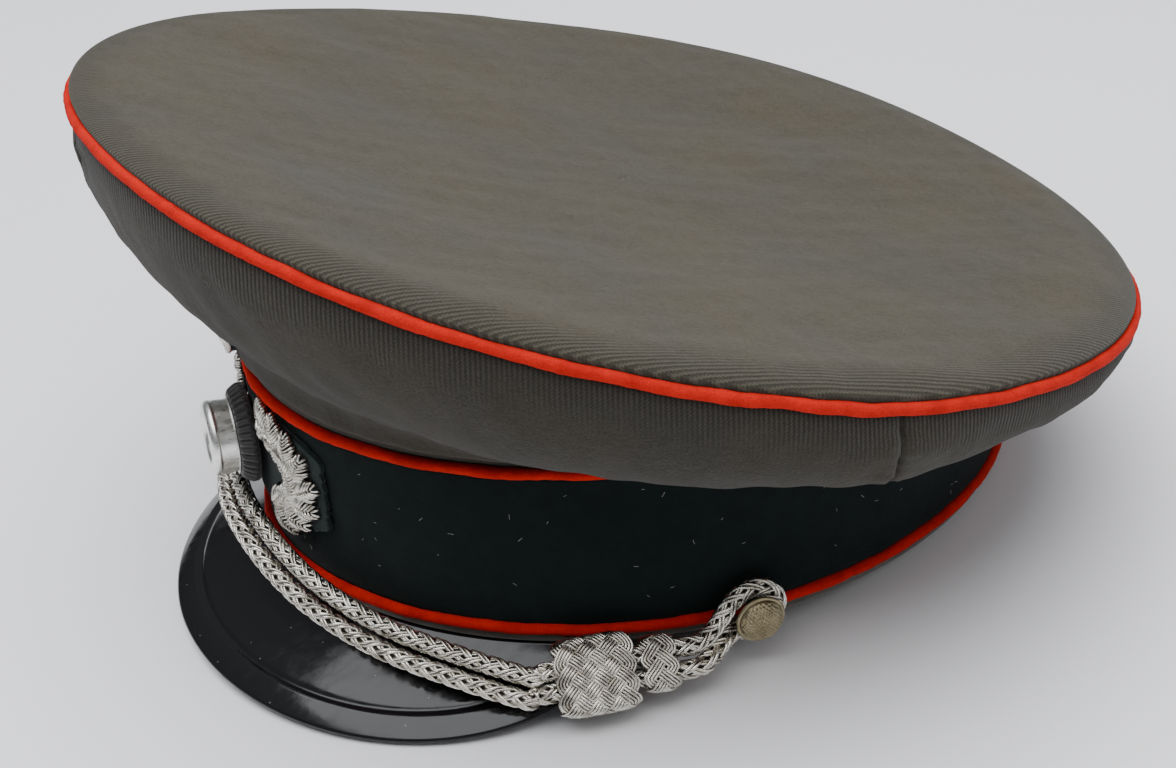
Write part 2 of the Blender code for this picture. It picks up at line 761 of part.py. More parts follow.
def make_wreath(parent, parts, materials):
    backing_out = GAP + BADGE_FELT

    def backing(u, v):
        angle = (2.0 * u - 1.0) * WREATH_HALF_SPAN
        squeeze = math.sqrt(1.0 - 0.55 * (2.0 * u - 1.0) ** 4)
        height = WREATH_HALF_HEIGHT * squeeze * (2.0 * v - 1.0)
        return band_point(angle, WREATH_Z + height, backing_out)

    made = bent_sheet(
        "wreath_backing", backing, 16, 4, BADGE_FELT, materials["band_felt"], parent, parts
    )
    for name, side in (("left", 1.0), ("right", -1.0)):
        def branch(u, v, side=side):
            turn = math.radians(-78.0 + 150.0 * (1.0 - u if side > 0.0 else u))
            reach = 0.74 + 0.24 * v
            angle = side * math.radians(7.0 + 15.5 * math.cos(turn) * reach ** 3)
            z = WREATH_Z + 0.0140 * reach * math.sin(turn)
            return band_point(angle, z, backing_out + GAP + BRANCH_DEPTH)

        bent_sheet(
            "wreath_branch_" + name, branch, 14, 3, BRANCH_DEPTH, materials["silver_cord"],
            parent, parts,
        )
    return made


def make_crown_patch(parent, parts, materials):
    """A plain padded oval on the front seam."""
    for name, width, height, lift, thickness, material in (
        ("crown_patch_backing", 0.0150, 0.0110, 0.0015, 0.0010, "band_felt"),
        ("crown_patch_oval", 0.0115, 0.0078, 0.0036, 0.0018, "silver_cord"),
    ):
        def oval(u, v, width=width, height=height, lift=lift):
            turn = u * math.tau
            spread = 1.0 - v
            angle = math.sin(turn) * spread * width / 0.118
            s = PATCH_CENTRE_S - math.cos(turn) * spread * height / 0.080
            return crown_side_point(angle, s, -lift)

        bent_sheet(name, oval, 24, 3, thickness, materials[material], parent, parts)


# ---- Assembly -----------------------------------------------------------------------------------
def world_points(objects):
    """Every point of the finished pieces, in world space."""
    depsgraph = bpy.context.evaluated_depsgraph_get()
    points = []
    for piece in objects:
        shape = piece.evaluated_get(depsgraph)
        mesh = shape.to_mesh()
        points += [shape.matrix_world @ vertex.co for vertex in mesh.vertices]
        shape.to_mesh_clear()
    return points


def stand_on_table(cap, pieces):
    """Tilt the cap until the peak's edge and the back of the band touch z = 0, and centre it."""
    bpy.context.view_layer.update()
    points = world_points(pieces)
    tilt = 0.0
    front = [p for p in points if p.y < 0.0]
    back = [p for p in points if p.y > 0.0]
    for _ in range(12):
        lowest_front = min(front, key=lambda p: p.y * math.sin(tilt) + p.z * math.cos(tilt))
        lowest_back = min(back, key=lambda p: p.y * math.sin(tilt) + p.z * math.cos(tilt))
        tilt = -math.atan2(lowest_back.z - lowest_front.z, lowest_back.y - lowest_front.y)
    cap.rotation_euler.x = tilt
    bpy.context.view_layer.update()
    points = world_points(pieces)
    low = Vector([min(p[i] for p in points) for i in range(3)])
    high = Vector([max(p[i] for p in points) for i in range(3)])
    cap.location = (-(low.x + high.x) / 2.0, -(low.y + high.y) / 2.0, -low.z)


def main():
    clear_scene()
    parts = new_collection(PARTS)
    cutters = new_collection(CUTTERS)
    materials = make_materials()
    cap = empty_at("cap_frame", Matrix.Identity(4), None, parts)
    lift_place = band_point(BUTTON_ANGLE, BUTTON_Z)
    lift = empty_at(
        "cord_lift_axis", Matrix.Translation((0.0, lift_place.y, lift_place.z)), cap, parts
    )
    make_crown(cap, parts, materials)
    make_lining(cap, parts, materials)
    band_pieces = make_band(cap, parts, materials)
    make_peak(cap, parts, materials)
    make_buttons(cap, parts, cutters, materials, band_pieces)
    make_cord(lift, parts, materials)
    make_knots(lift, parts, cutters, materials)
    backing = make_wreath(cap, parts, materials)
    make_cockade(cap, parts, cutters, materials, [backing, *band_pieces.values()])
    make_crown_patch(cap, parts, materials)
    pieces = [piece for piece in parts.objects if piece.type in {"MESH", "CURVE"}]
    stand_on_table(cap, pieces)


main()
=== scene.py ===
"""Looks of the military peaked cap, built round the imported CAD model.

Every piece is shaped in the band's own frame, which the record's head opening gives, with the
same curves that the cap was cut to.  Metres.  -Y is the wearer's front and +X the wearer's left;
angles run round the band from the front over the left side, and Z runs up from its lower edge.
"""

import json
import math

import bpy
import numpy as np
from mathutils import Matrix, Vector


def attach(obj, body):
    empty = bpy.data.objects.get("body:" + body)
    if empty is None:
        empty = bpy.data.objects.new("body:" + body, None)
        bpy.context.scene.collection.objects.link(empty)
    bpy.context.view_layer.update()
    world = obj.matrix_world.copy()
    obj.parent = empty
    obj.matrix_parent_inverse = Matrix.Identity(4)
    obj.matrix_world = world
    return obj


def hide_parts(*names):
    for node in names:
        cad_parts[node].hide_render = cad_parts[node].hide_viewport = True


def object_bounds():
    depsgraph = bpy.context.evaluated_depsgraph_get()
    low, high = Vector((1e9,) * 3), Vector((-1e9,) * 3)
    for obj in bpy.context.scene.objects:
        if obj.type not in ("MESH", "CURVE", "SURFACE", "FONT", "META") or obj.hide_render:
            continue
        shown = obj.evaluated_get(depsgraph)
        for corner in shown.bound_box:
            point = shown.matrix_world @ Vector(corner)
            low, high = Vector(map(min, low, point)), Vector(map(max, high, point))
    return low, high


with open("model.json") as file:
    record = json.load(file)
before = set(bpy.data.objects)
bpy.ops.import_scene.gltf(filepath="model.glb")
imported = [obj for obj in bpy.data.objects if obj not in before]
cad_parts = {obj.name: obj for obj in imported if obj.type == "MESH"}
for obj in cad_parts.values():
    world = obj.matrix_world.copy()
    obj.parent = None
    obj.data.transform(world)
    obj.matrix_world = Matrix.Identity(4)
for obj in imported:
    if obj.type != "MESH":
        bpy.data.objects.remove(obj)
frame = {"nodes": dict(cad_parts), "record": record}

CAD_BOX = [list(corner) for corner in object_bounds()]
TAU = math.tau
MM = 0.001

# ---- The cap's curves, as its source has them -------------------------------------------------
BAND_HALF_LENGTH = 0.1072
BAND_HALF_WIDTH = 0.0825
BAND_FRONT_FULLNESS = 0.064
BAND_CURVE_POWER = 1.04
BAND_FLARE = 0.0012
LOWER_PIPING_Z = 0.0040
UPPER_PIPING_Z = 0.0505
PIPING_RADIUS = 0.0015
RIM_HALF_LENGTH = 0.1361
RIM_HALF_WIDTH = 0.1320
RIM_CENTRE_Y = -0.0044
RIM_CURVE_POWER = 1.081
RIM_WAVES_Z = (0.0902, 0.0344, 0.0026, 0.0017, -0.0004)
RIM_BACK_FULLNESS = 0.032
RIM_SIDE_WAVE = 0.0268
RIM_Y_WAVE = -0.0017
TOP_DISH = 0.010
TOP_ROLL = 0.0045
TOP_ROLL_WIDTH = 0.11
SIDE_SEAM = math.radians(97.0)
SIDE_LOW_UP = (0.00774, 0.00503, 0.00137)
SIDE_LOW_OUT = (0.00011, -0.00482)
SIDE_HIGH_DOWN = (0.02709, 0.01689, -0.00815)
SIDE_HIGH_OUT = (0.00489, 0.00115, -0.00112)
PEAK_DEPTH = 0.0345
PEAK_HALF_ANGLE = math.radians(70.0)
PEAK_SLOPE_FRONT = math.radians(34.0)
PEAK_SLOPE_CORNER = math.radians(42.0)
PEAK_THICKNESS = 0.0018
BUTTON_ANGLE = math.radians(87.6)
BUTTON_Z = 0.0064
BUTTON_RADIUS = 0.0065
BUTTON_BASE_OUT = 0.0078
CORD_RADIUS = 0.0026
CORD_SPACING = 0.0056
CORD_LEAN = math.radians(41.0)
LOOP_RADIUS = 0.0064
LOOP_OUT = 0.0040
KNOT_SIZE = (0.0205, 0.0200, 0.0094)
KEEPER_SIZE = (0.0095, 0.0146, 0.0090)
KNOT_SPAN = 0.0158             # from the slide knot's middle to the keeper's
COCKADE_Z = 0.0335
ROSETTE_RADIUS = 0.0130
BOSS_RADIUS = 0.0102
BOSS_HEIGHT = 0.0070
PATCH_CENTRE_S = 0.27
WREATH_Z = 0.0315

# ---- Camera, in the band's frame ------------------------------------------------------------
CAMERA_PLACE = (0.44123, -0.16544, 0.29664)
CAMERA_YAW = 0.32587
CAMERA_PITCH = 0.52448
CAMERA_ROLL = -0.02978
CAMERA_LENS = 58.985           # millimetres, on a 36 mm wide sensor


def band_to_world():
    """Where the band's frame stands in the row frame, from the record's head opening."""
    mount = next(m for m in frame["record"]["mounts"] if m["name"] == "head_opening")
    up = -Vector(mount["axis"]).normalized()
    left = Vector((1.0, 0.0, 0.0))
    turn = Matrix((left, up.cross(left), up)).transposed().to_4x4()
    return Matrix.Translation(mount["pos_m"]) @ turn


BAND = band_to_world()


# ---- Small vector helpers -----------------------------------------------------------------------
def unit(vectors):
    return vectors / np.maximum(np.linalg.norm(vectors, axis=-1, keepdims=True), 1e-12)


def vectors(x, y, z):
    return np.stack(np.broadcast_arrays(x, y, z), axis=-1).astype(float)


def column(values):
    """Numbers ready to multiply an array of vectors."""
    return np.asarray(values, float)[..., None]


def signed_power(value, power):
    return np.sign(value) * np.abs(value) ** power


def smooth(value, low, high):
    """0 below low, 1 above high, and a soft step between them."""
    t = np.clip((np.asarray(value, float) - low) / (high - low), 0.0, 1.0)
    return t * t * (3.0 - 2.0 * t)


def ripple(points, size, seed, waves=14):
    """Soft random hills over the points, about -1 to 1 high and about size wide."""
    random = np.random.default_rng(seed)
    headings = unit(random.normal(size=(waves, 3)))
    pace = random.uniform(0.6, 1.5, waves) * TAU / (2.0 * size)
    start = random.uniform(0.0, TAU, waves)
    return np.sin(points @ (headings * pace[:, None]).T + start).sum(-1) / math.sqrt(waves)


# ---- Curves that the cap is cut to --------------------------------------------------------------
def wave(terms, angle):
    """A length that changes round the cap: the sum of its cosine terms."""
    return sum(height * np.cos(order * angle) for order, height in enumerate(terms))


def band_outline(angle, z):
    flare = BAND_FLARE * z / UPPER_PIPING_Z
    sine = signed_power(np.sin(angle), BAND_CURVE_POWER)
    cosine = signed_power(np.cos(angle), BAND_CURVE_POWER)
    x = (BAND_HALF_WIDTH + flare) * sine * (1.0 + BAND_FRONT_FULLNESS * np.cos(angle))
    return vectors(x, -(BAND_HALF_LENGTH + flare) * cosine, z)


def band_outward(angle):
    step = 0.001
    along = band_outline(angle + step, 0.0) - band_outline(angle - step, 0.0)
    return unit(vectors(along[..., 1], -along[..., 0], 0.0))


def band_point(angle, z, out=0.0):
    return band_outline(angle, z) + band_outward(angle) * column(out)


def rim_point(angle, share=1.0):
    angle, share = np.broadcast_arrays(np.asarray(angle, float), np.asarray(share, float))
    sine = signed_power(np.sin(angle), RIM_CURVE_POWER)
    cosine = signed_power(np.cos(angle), RIM_CURVE_POWER)
    fullness = 1.0 - RIM_BACK_FULLNESS * np.cos(angle)
    x = RIM_HALF_WIDTH * (sine * fullness + RIM_SIDE_WAVE * np.sin(3.0 * angle))
    y = -RIM_HALF_LENGTH * cosine + RIM_Y_WAVE * np.cos(2.0 * angle)
    z = sum(
        height * share ** order * np.cos(order * angle)
        for order, height in enumerate(RIM_WAVES_Z)
    )
    return vectors(x * share, RIM_CENTRE_Y + y * share, z)


def crown_side_outline(angle, s):
    """Outer face of the crown's side, from the band (s = 0) to the rim (s = 1)."""
    angle, s = np.broadcast_arrays(np.asarray(angle, float), np.asarray(s, float))
    up = np.array((0.0, 0.0, 1.0))
    foot = band_point(angle, UPPER_PIPING_Z + PIPING_RADIUS + 0.9 * MM, -0.3 * MM)
    head = rim_point(angle) - up * (PIPING_RADIUS + 0.9 * MM)
    out = unit((head - foot) * (1.0, 1.0, 0.0))
    low = foot + up * column(wave(SIDE_LOW_UP, angle)) + out * column(wave(SIDE_LOW_OUT, angle))
    high = head - up * column(wave(SIDE_HIGH_DOWN, angle))
    high = high + out * column(wave(SIDE_HIGH_OUT, angle))
    rest = 1.0 - s
    return (
        foot * column(rest ** 3)
        + low * column(3.0 * s * rest ** 2)
        + high * column(3.0 * s ** 2 * rest)
        + head * column(s ** 3)
    )


def crown_side_point(angle, s, inward=0.0):
    step = 0.004
    around = crown_side_outline(angle + step, s) - crown_side_outline(angle - step, s)
    rise = crown_side_outline(angle, s + step) - crown_side_outline(angle, s - step)
    return crown_side_outline(angle, s) - unit(np.cross(around, rise)) * column(inward)


def crown_top_point(angle, share, below=0.0):
    point = rim_point(angle, share)
    edge = np.clip((share - (1.0 - TOP_ROLL_WIDTH)) / TOP_ROLL_WIDTH, 0.0, 1.0)
    roll = TOP_ROLL * np.maximum(np.cos(edge * math.pi / 2.0), 0.0) ** 0.5
    dish = TOP_DISH * (1.0 - np.asarray(share) ** 2)
    point[..., 2] += PIPING_RADIUS + 0.8 * MM + roll - dish - below
    return point


def peak_width(angle):
    share = np.minimum(1.0, np.abs(angle) / PEAK_HALF_ANGLE)
    return PEAK_DEPTH * (1.0 - share ** 3.5) ** 0.80


def peak_point(angle, distance, lift=0.0):
    """A point on the peak's upper face, or a lift above it."""
    share = np.minimum(1.0, np.abs(angle) / PEAK_HALF_ANGLE)
    slope = PEAK_SLOPE_FRONT + (PEAK_SLOPE_CORNER - PEAK_SLOPE_FRONT) * share ** 2
    level = distance * np.cos(slope) + lift * np.sin(slope)
    drop = distance * np.sin(slope) - lift * np.cos(slope)
    point = band_point(angle, -0.6 * MM) + band_outward(angle) * column(level)
    point[..., 2] -= drop
    return point


# ---- Mesh makers --------------------------------------------------------------------------------
def grid_faces(across, along, wrap_across=False, wrap_along=False):
    u = np.arange(across if wrap_across else across - 1)
    v = np.arange(along if wrap_along else along - 1)
    a, b = np.meshgrid(u, v, indexing="ij")
    a_next, b_next = (a + 1) % across, (b + 1) % along
    corners = (a * along + b, a_next * along + b, a_next * along + b_next, a * along + b_next)
    return np.stack(corners, -1).reshape(-1, 4)


def add_piece(name, points, faces, material, body, replaces=(), cloth=None):
    """A piece from points in the band's frame, riding on a body; cloth is a coordinate in metres."""
    points = np.asarray(points, float).reshape(-1, 3)
    sizes = np.concatenate([np.full(len(group), group.shape[1]) for group in faces])
    corners = np.concatenate([group.ravel() for group in faces])
    mesh = bpy.data.meshes.new(name)
    mesh.vertices.add(len(points))
    mesh.vertices.foreach_set("co", points.ravel())
    mesh.loops.add(len(corners))
    mesh.loops.foreach_set("vertex_index", corners.astype(np.int32))
    mesh.polygons.add(len(sizes))
    mesh.polygons.foreach_set("loop_start", (np.cumsum(sizes) - sizes).astype(np.int32))
    mesh.transform(BAND)
    mesh.update(calc_edges=True)
    mesh.shade_smooth()
    if cloth is not None:
        attribute = mesh.attributes.new("cloth", "FLOAT_VECTOR", "POINT")
        attribute.data.foreach_set("vector", np.asarray(cloth, float).ravel())
    mesh.materials.append(material)
    made = bpy.data.objects.new(name, mesh)
    bpy.context.scene.collection.objects.link(made)
    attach(made, body)
    if replaces:
        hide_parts(*replaces)
    return made


def thicken(made, thickness, offset=-1.0):
    solid = made.modifiers.new("thickness", "SOLIDIFY")
    solid.thickness = thickness
    solid.offset = offset
    return made


def sweep(paths, normals, radius, sides, closed=False):
    """Round tubes along paths, an array of (tubes, steps, 3); returns points and groups of faces."""
    paths, normals = np.asarray(paths, float), np.asarray(normals, float)
    tubes, steps = paths.shape[:2]
    if closed:
        tangent = unit(np.roll(paths, -1, 1) - np.roll(paths, 1, 1))
    else:
        tangent = unit(np.gradient(paths, axis=1))
    side = unit(np.cross(tangent, np.broadcast_to(normals, paths.shape)))
    up = np.cross(side, tangent)
    turn = np.arange(sides) * TAU / sides
    radius = np.broadcast_to(radius, (tubes, steps))[..., None, None]
    rings = paths[:, :, None] + radius * (
        side[:, :, None] * np.cos(turn)[:, None] + up[:, :, None] * np.sin(turn)[:, None]
    )
    one = grid_faces(steps, sides, closed, True)
    start = np.arange(tubes)[:, None, None] * steps * sides
    groups = [(one + start).reshape(-1, 4)]
    if not closed:
        first = np.arange(sides)
        last = (steps - 1) * sides + first[::-1]
        groups.append((np.stack((first, last)) + start).reshape(-1, sides))
    return rings.reshape(-1, 3), groups


def joined(*shapes):
    """One shape from several (points, faces) pairs."""
    points, groups, start = [], [], 0
    for shape_points, shape_groups in shapes:
        points.append(shape_points)
        groups += [group + start for group in shape_groups]
        start += len(shape_points)
    return np.concatenate(points), groups


# ---- Materials ----------------------------------------------------------------------------------
class Look:
    """A Principled material whose nodes are added one call at a time."""

    def __init__(self, name, roughness=0.5, **sockets):
        self.material = bpy.data.materials.new(name)
        self.material.use_nodes = True
        self.tree = self.material.node_tree
        self.shader = self.tree.nodes["Principled BSDF"]
        self.shader.inputs["Roughness"].default_value = roughness
        for socket, value in sockets.items():
            self.shader.inputs[socket.replace("_", " ")].default_value = value
        self.object_place = self.node("ShaderNodeTexCoord").outputs["Object"]

    def node(self, kind, **settings):
        made = self.tree.nodes.new(kind)
        for setting, value in settings.items():
            setattr(made, setting, value)
        return made

    def feed(self, socket, value):
        if isinstance(value, bpy.types.NodeSocket):
            self.tree.links.new(value, socket)
        else:
            socket.default_value = value

    def attribute(self):
        return self.node("ShaderNodeAttribute", attribute_name="cloth").outputs["Vector"]

    def parts(self, vector):
        made = self.node("ShaderNodeSeparateXYZ")
        self.feed(made.inputs[0], vector)
        return made.outputs

    def math(self, operation, first, second=0.0, clamp=False):
        made = self.node("ShaderNodeMath", operation=operation, use_clamp=clamp)
        self.feed(made.inputs[0], first)
        self.feed(made.inputs[1], second)
        return made.outputs[0]

    def scaled(self, vector, factors):
        made = self.node("ShaderNodeVectorMath", operation="MULTIPLY")
        self.feed(made.inputs[0], vector)
        made.inputs[1].default_value = factors
        return made.outputs[0]

    def noise(self, size, detail=3.0, roughness=0.55, vector=None, distortion=0.0):
        """Noise whose blotches are about size metres across."""
        made = self.node("ShaderNodeTexNoise")
        self.feed(made.inputs["Vector"], self.object_place if vector is None else vector)
        made.inputs["Scale"].default_value = 1.0 / size
        made.inputs["Detail"].default_value = detail
        made.inputs["Roughness"].default_value = roughness
        made.inputs["Distortion"].default_value = distortion
        return made.outputs["Fac"]

    def cells(self, size, feature="F1", vector=None):
        made = self.node("ShaderNodeTexVoronoi", feature=feature)
        self.feed(made.inputs["Vector"], self.object_place if vector is None else vector)
        made.inputs["Scale"].default_value = 1.0 / size
        return made.outputs["Distance"]

    def stretch(self, value, low, high, new_low=0.0, new_high=1.0):
        made = self.node("ShaderNodeMapRange", interpolation_type="SMOOTHSTEP")
        self.feed(made.inputs["Value"], value)
        for socket, number in zip(list(made.inputs)[1:5], (low, high, new_low, new_high)):
            socket.default_value = number
        return made.outputs[0]

    def blend(self, share, first, second, mode="MIX"):
        made = self.node("ShaderNodeMix", data_type="RGBA", blend_type=mode)
        self.feed(made.inputs[0], share)
        self.feed(made.inputs[6], self.colour(first))
        self.feed(made.inputs[7], self.colour(second))
        return made.outputs[2]

    @staticmethod
    def colour(value):
        return (*value, 1.0) if isinstance(value, tuple) and len(value) == 3 else value

    def paint(self, colour):
        self.feed(self.shader.inputs["Base Color"], self.colour(colour))

    def rough(self, value):
        self.feed(self.shader.inputs["Roughness"], value)

    def bump(self, height, distance, strength=1.0, below=None):
        """Bump of that depth in metres; below is another bump that it lies on."""
        made = self.node("ShaderNodeBump")
        made.inputs["Strength"].default_value = strength
        made.inputs["Distance"].default_value = distance
        self.feed(made.inputs["Height"], height)
        if below is not None:
            self.feed(made.inputs["Normal"], below)
        self.feed(self.shader.inputs["Normal"], made.outputs[0])
        return made.outputs[0]


def look_crown_cloth(name, pitch, rib_reach, tone):
    """Napped tricot: ribs show near the rim, and felt together into a soft nap away from it.

    The cloth coordinate is (across the ribs, along the ribs, distance from the rim).
    """
    look = Look(name, 0.95, Sheen_Weight=0.12, Sheen_Roughness=0.5, Specular_IOR_Level=0.1)
    across, along, from_rim = look.parts(look.attribute())[:3]
    wander = look.math("MULTIPLY", look.noise(6 * MM, 2.0), 0.35)
    turns = look.math("ADD", look.math("DIVIDE", across, pitch), wander)
    wave = look.math("SINE", look.math("MULTIPLY", turns, TAU))
    ticks = look.math("SINE", look.math("MULTIPLY", along, TAU / (0.9 * MM)))
    half_turn = look.math("MULTIPLY", look.math("COSINE", look.math("MULTIPLY", turns, TAU)), ticks)
    rib = look.math("ADD", look.math("MULTIPLY", wave, 0.5), look.math("MULTIPLY", half_turn, 0.25))
    patchy = look.math("MULTIPLY", look.math("SUBTRACT", look.noise(9 * MM, 3.0), 0.5), rib_reach)
    reach = look.math("ADD", from_rim, patchy)
    ribs_show = look.stretch(reach, 0.25 * rib_reach, rib_reach, 1.0, 0.0)
    nap = look.noise(0.55 * MM, 4.0, 0.75)
    clumps = look.noise(2.6 * MM, 3.0, 0.6)
    blotches = look.noise(38 * MM, 3.0, 0.5)
    dark = tuple(0.50 * c for c in tone)
    light = tuple(1.62 * c for c in tone)
    warm = (tone[0] * 1.14, tone[1] * 1.05, tone[2] * 0.86)
    base = look.blend(look.stretch(blotches, 0.30, 0.70), tone, warm)
    base = look.blend(look.stretch(clumps, 0.30, 0.72, 0.0, 0.26), base, light)
    base = look.blend(look.stretch(nap, 0.36, 0.58, 0.75, 0.0), base, dark)
    rib_light = look.stretch(rib, -0.10, 0.65)
    striped = look.blend(rib_light, dark, look.blend(0.5, base, light))
    share = look.math("MULTIPLY", ribs_show, 0.72)
    look.paint(look.blend(share, base, striped))
    soft = look.bump(look.math("ADD", nap, clumps), 0.35 * MM, 0.9)
    look.bump(look.math("MULTIPLY", rib, ribs_show), 0.22 * MM, 0.7, soft)
    return look.material


def look_felt(name, colour, light, sheen=0.3, fibre=0.35 * MM, mottle=0.5):
    """Pressed wool felt with short stray fibres."""
    look = Look(name, 0.92, Sheen_Weight=sheen, Sheen_Roughness=0.5, Specular_IOR_Level=0.15)
    fibres = look.noise(fibre, 4.0, 0.8, None, 0.6)
    patches = look.noise(5 * MM, 3.0)
    base = look.blend(look.stretch(fibres, 0.32, 0.70), colour, light)
    dim = tuple(0.62 * c for c in colour)
    look.paint(look.blend(look.stretch(patches, 0.35, 0.75, 0.0, mottle), base, dim))
    look.bump(look.math("ADD", fibres, look.noise(1.4 * MM)), 0.25 * MM, 0.8)
    return look.material


def look_peak():
    """Lacquered black fibre: a hard gloss, faint orange peel, scuffs and settled dust."""
    look = Look("peak_lacquer", 0.12, Specular_IOR_Level=0.30)
    scuffs = look.noise(3 * MM, 6.0, 0.7, look.scaled(look.object_place, (1.0, 0.25, 1.0)))
    dust = look.cells(4.5 * MM)
    look.paint(look.blend(look.stretch(dust, 0.03, 0.05, 1.0, 0.0), (0.006, 0.006, 0.007),
                          (0.20, 0.19, 0.18)))
    look.rough(look.stretch(scuffs, 0.35, 0.75, 0.09, 0.24))
    look.bump(look.noise(2.2 * MM, 2.0), 0.02 * MM, 0.5)
    return look.material


def look_wire(name, colour, dark, roughness, twist):
    """Metal-wrapped thread: fine turns along it, with tarnish in patches."""
    look = Look(name, roughness, Metallic=1.0)
    along = look.parts(look.attribute())[0]
    turns = look.math("SINE", look.math("MULTIPLY", along, TAU / twist))
    tarnish = look.noise(4 * MM, 4.0)
    tone = look.blend(look.stretch(tarnish, 0.38, 0.72), colour, dark)
    groove = look.stretch(turns, -1.0, -0.3, 0.10, 0.0)
    look.paint(look.blend(groove, tone, tuple(0.55 * c for c in dark)))
    look.rough(look.stretch(look.noise(3.0 * MM), 0.3, 0.7, roughness - 0.04, roughness + 0.10))
    look.bump(turns, 0.02 * MM, 0.4)
    return look.material


def look_metal(name, colour, dark, roughness, grain, grain_size):
    """Brushed or cast metal; grain stretches the brush marks along one axis."""
    look = Look(name, roughness, Metallic=1.0)
    marks = look.noise(grain_size, 5.0, 0.7, look.scaled(look.object_place, grain))
    wear = look.noise(3 * MM, 4.0)
    look.paint(look.blend(look.stretch(wear, 0.35, 0.75), colour, dark))
    look.rough(look.stretch(marks, 0.3, 0.7, roughness - 0.10, roughness + 0.12))
    look.bump(marks, 0.03 * MM, 0.5)
    return look.material


def look_silk():
    """Black ribbed silk, its colour flecked by fine threads."""
    look = Look("rosette_silk", 0.55, Sheen_Weight=0.25, Specular_IOR_Level=0.35)
    threads = look.noise(0.3 * MM, 3.0, 0.7)
    look.paint(look.blend(threads, (0.004, 0.0035, 0.0035), (0.018, 0.016, 0.015)))
    look.bump(threads, 0.08 * MM, 0.7)
    return look.material


def look_leather():
    """Tanned leather: pebbled grain and handling stains."""
    look = Look("sweatband_leather", 0.5, Specular_IOR_Level=0.4)
    grain = look.cells(0.9 * MM, "DISTANCE_TO_EDGE")
    stains = look.noise(14 * MM, 4.0)
    base = look.blend(look.stretch(stains, 0.3, 0.75), (0.33, 0.19, 0.095), (0.20, 0.105, 0.05))
    look.paint(look.blend(look.stretch(grain, 0.0, 0.10, 0.5, 0.0), base, (0.10, 0.05, 0.025)))
    look.rough(look.stretch(stains, 0.3, 0.7, 0.42, 0.62))
    look.bump(look.stretch(grain, 0.0, 0.25), 0.12 * MM, 0.7)
    return look.material


def look_satin():
    """Lining satin: close diagonal twill and a soft shine."""
    look = Look("lining_satin", 0.38, Sheen_Weight=0.3, Anisotropic=0.5)
    x, y, _ = look.parts(look.attribute())[:3]
    twill = look.math("SINE", look.math("MULTIPLY", look.math("ADD", x, y), TAU / (0.5 * MM)))
    stains = look.noise(18 * MM, 4.0)
    base = look.blend(look.stretch(stains, 0.3, 0.75), (0.36, 0.27, 0.15), (0.25, 0.18, 0.095))
    look.paint(look.blend(look.stretch(twill, -1.0, 0.2, 0.35, 0.0), base, (0.15, 0.11, 0.06)))
    look.bump(twill, 0.04 * MM, 0.6)
    return look.material


def look_film():
    """Yellowed celluloid that protects the lining."""
    look = Look("shield_film", 0.12, Transmission_Weight=0.75, IOR=1.45, Alpha=0.55)
    age = look.noise(20 * MM, 4.0)
    look.paint(look.blend(look.stretch(age, 0.3, 0.7), (0.82, 0.78, 0.62), (0.66, 0.58, 0.38)))
    look.rough(look.stretch(look.noise(2 * MM, 5.0), 0.3, 0.8, 0.08, 0.30))
    return look.material


def look_board():
    """Pressed fibre board with flecks."""
    look = Look("stiffener_board", 0.9, Specular_IOR_Level=0.2)
    flecks = look.noise(1.2 * MM, 5.0, 0.75)
    look.paint(look.blend(look.stretch(flecks, 0.35, 0.65), (0.34, 0.26, 0.16), (0.20, 0.15, 0.09)))
    look.bump(flecks, 0.10 * MM, 0.6)
    return look.material


def look_floor():
    look = Look("floor_paint", 0.85, Specular_IOR_Level=0.2)
    look.paint(look.blend(look.noise(0.25, 3.0), (0.80, 0.80, 0.82), (0.84, 0.84, 0.86)))
    return look.material


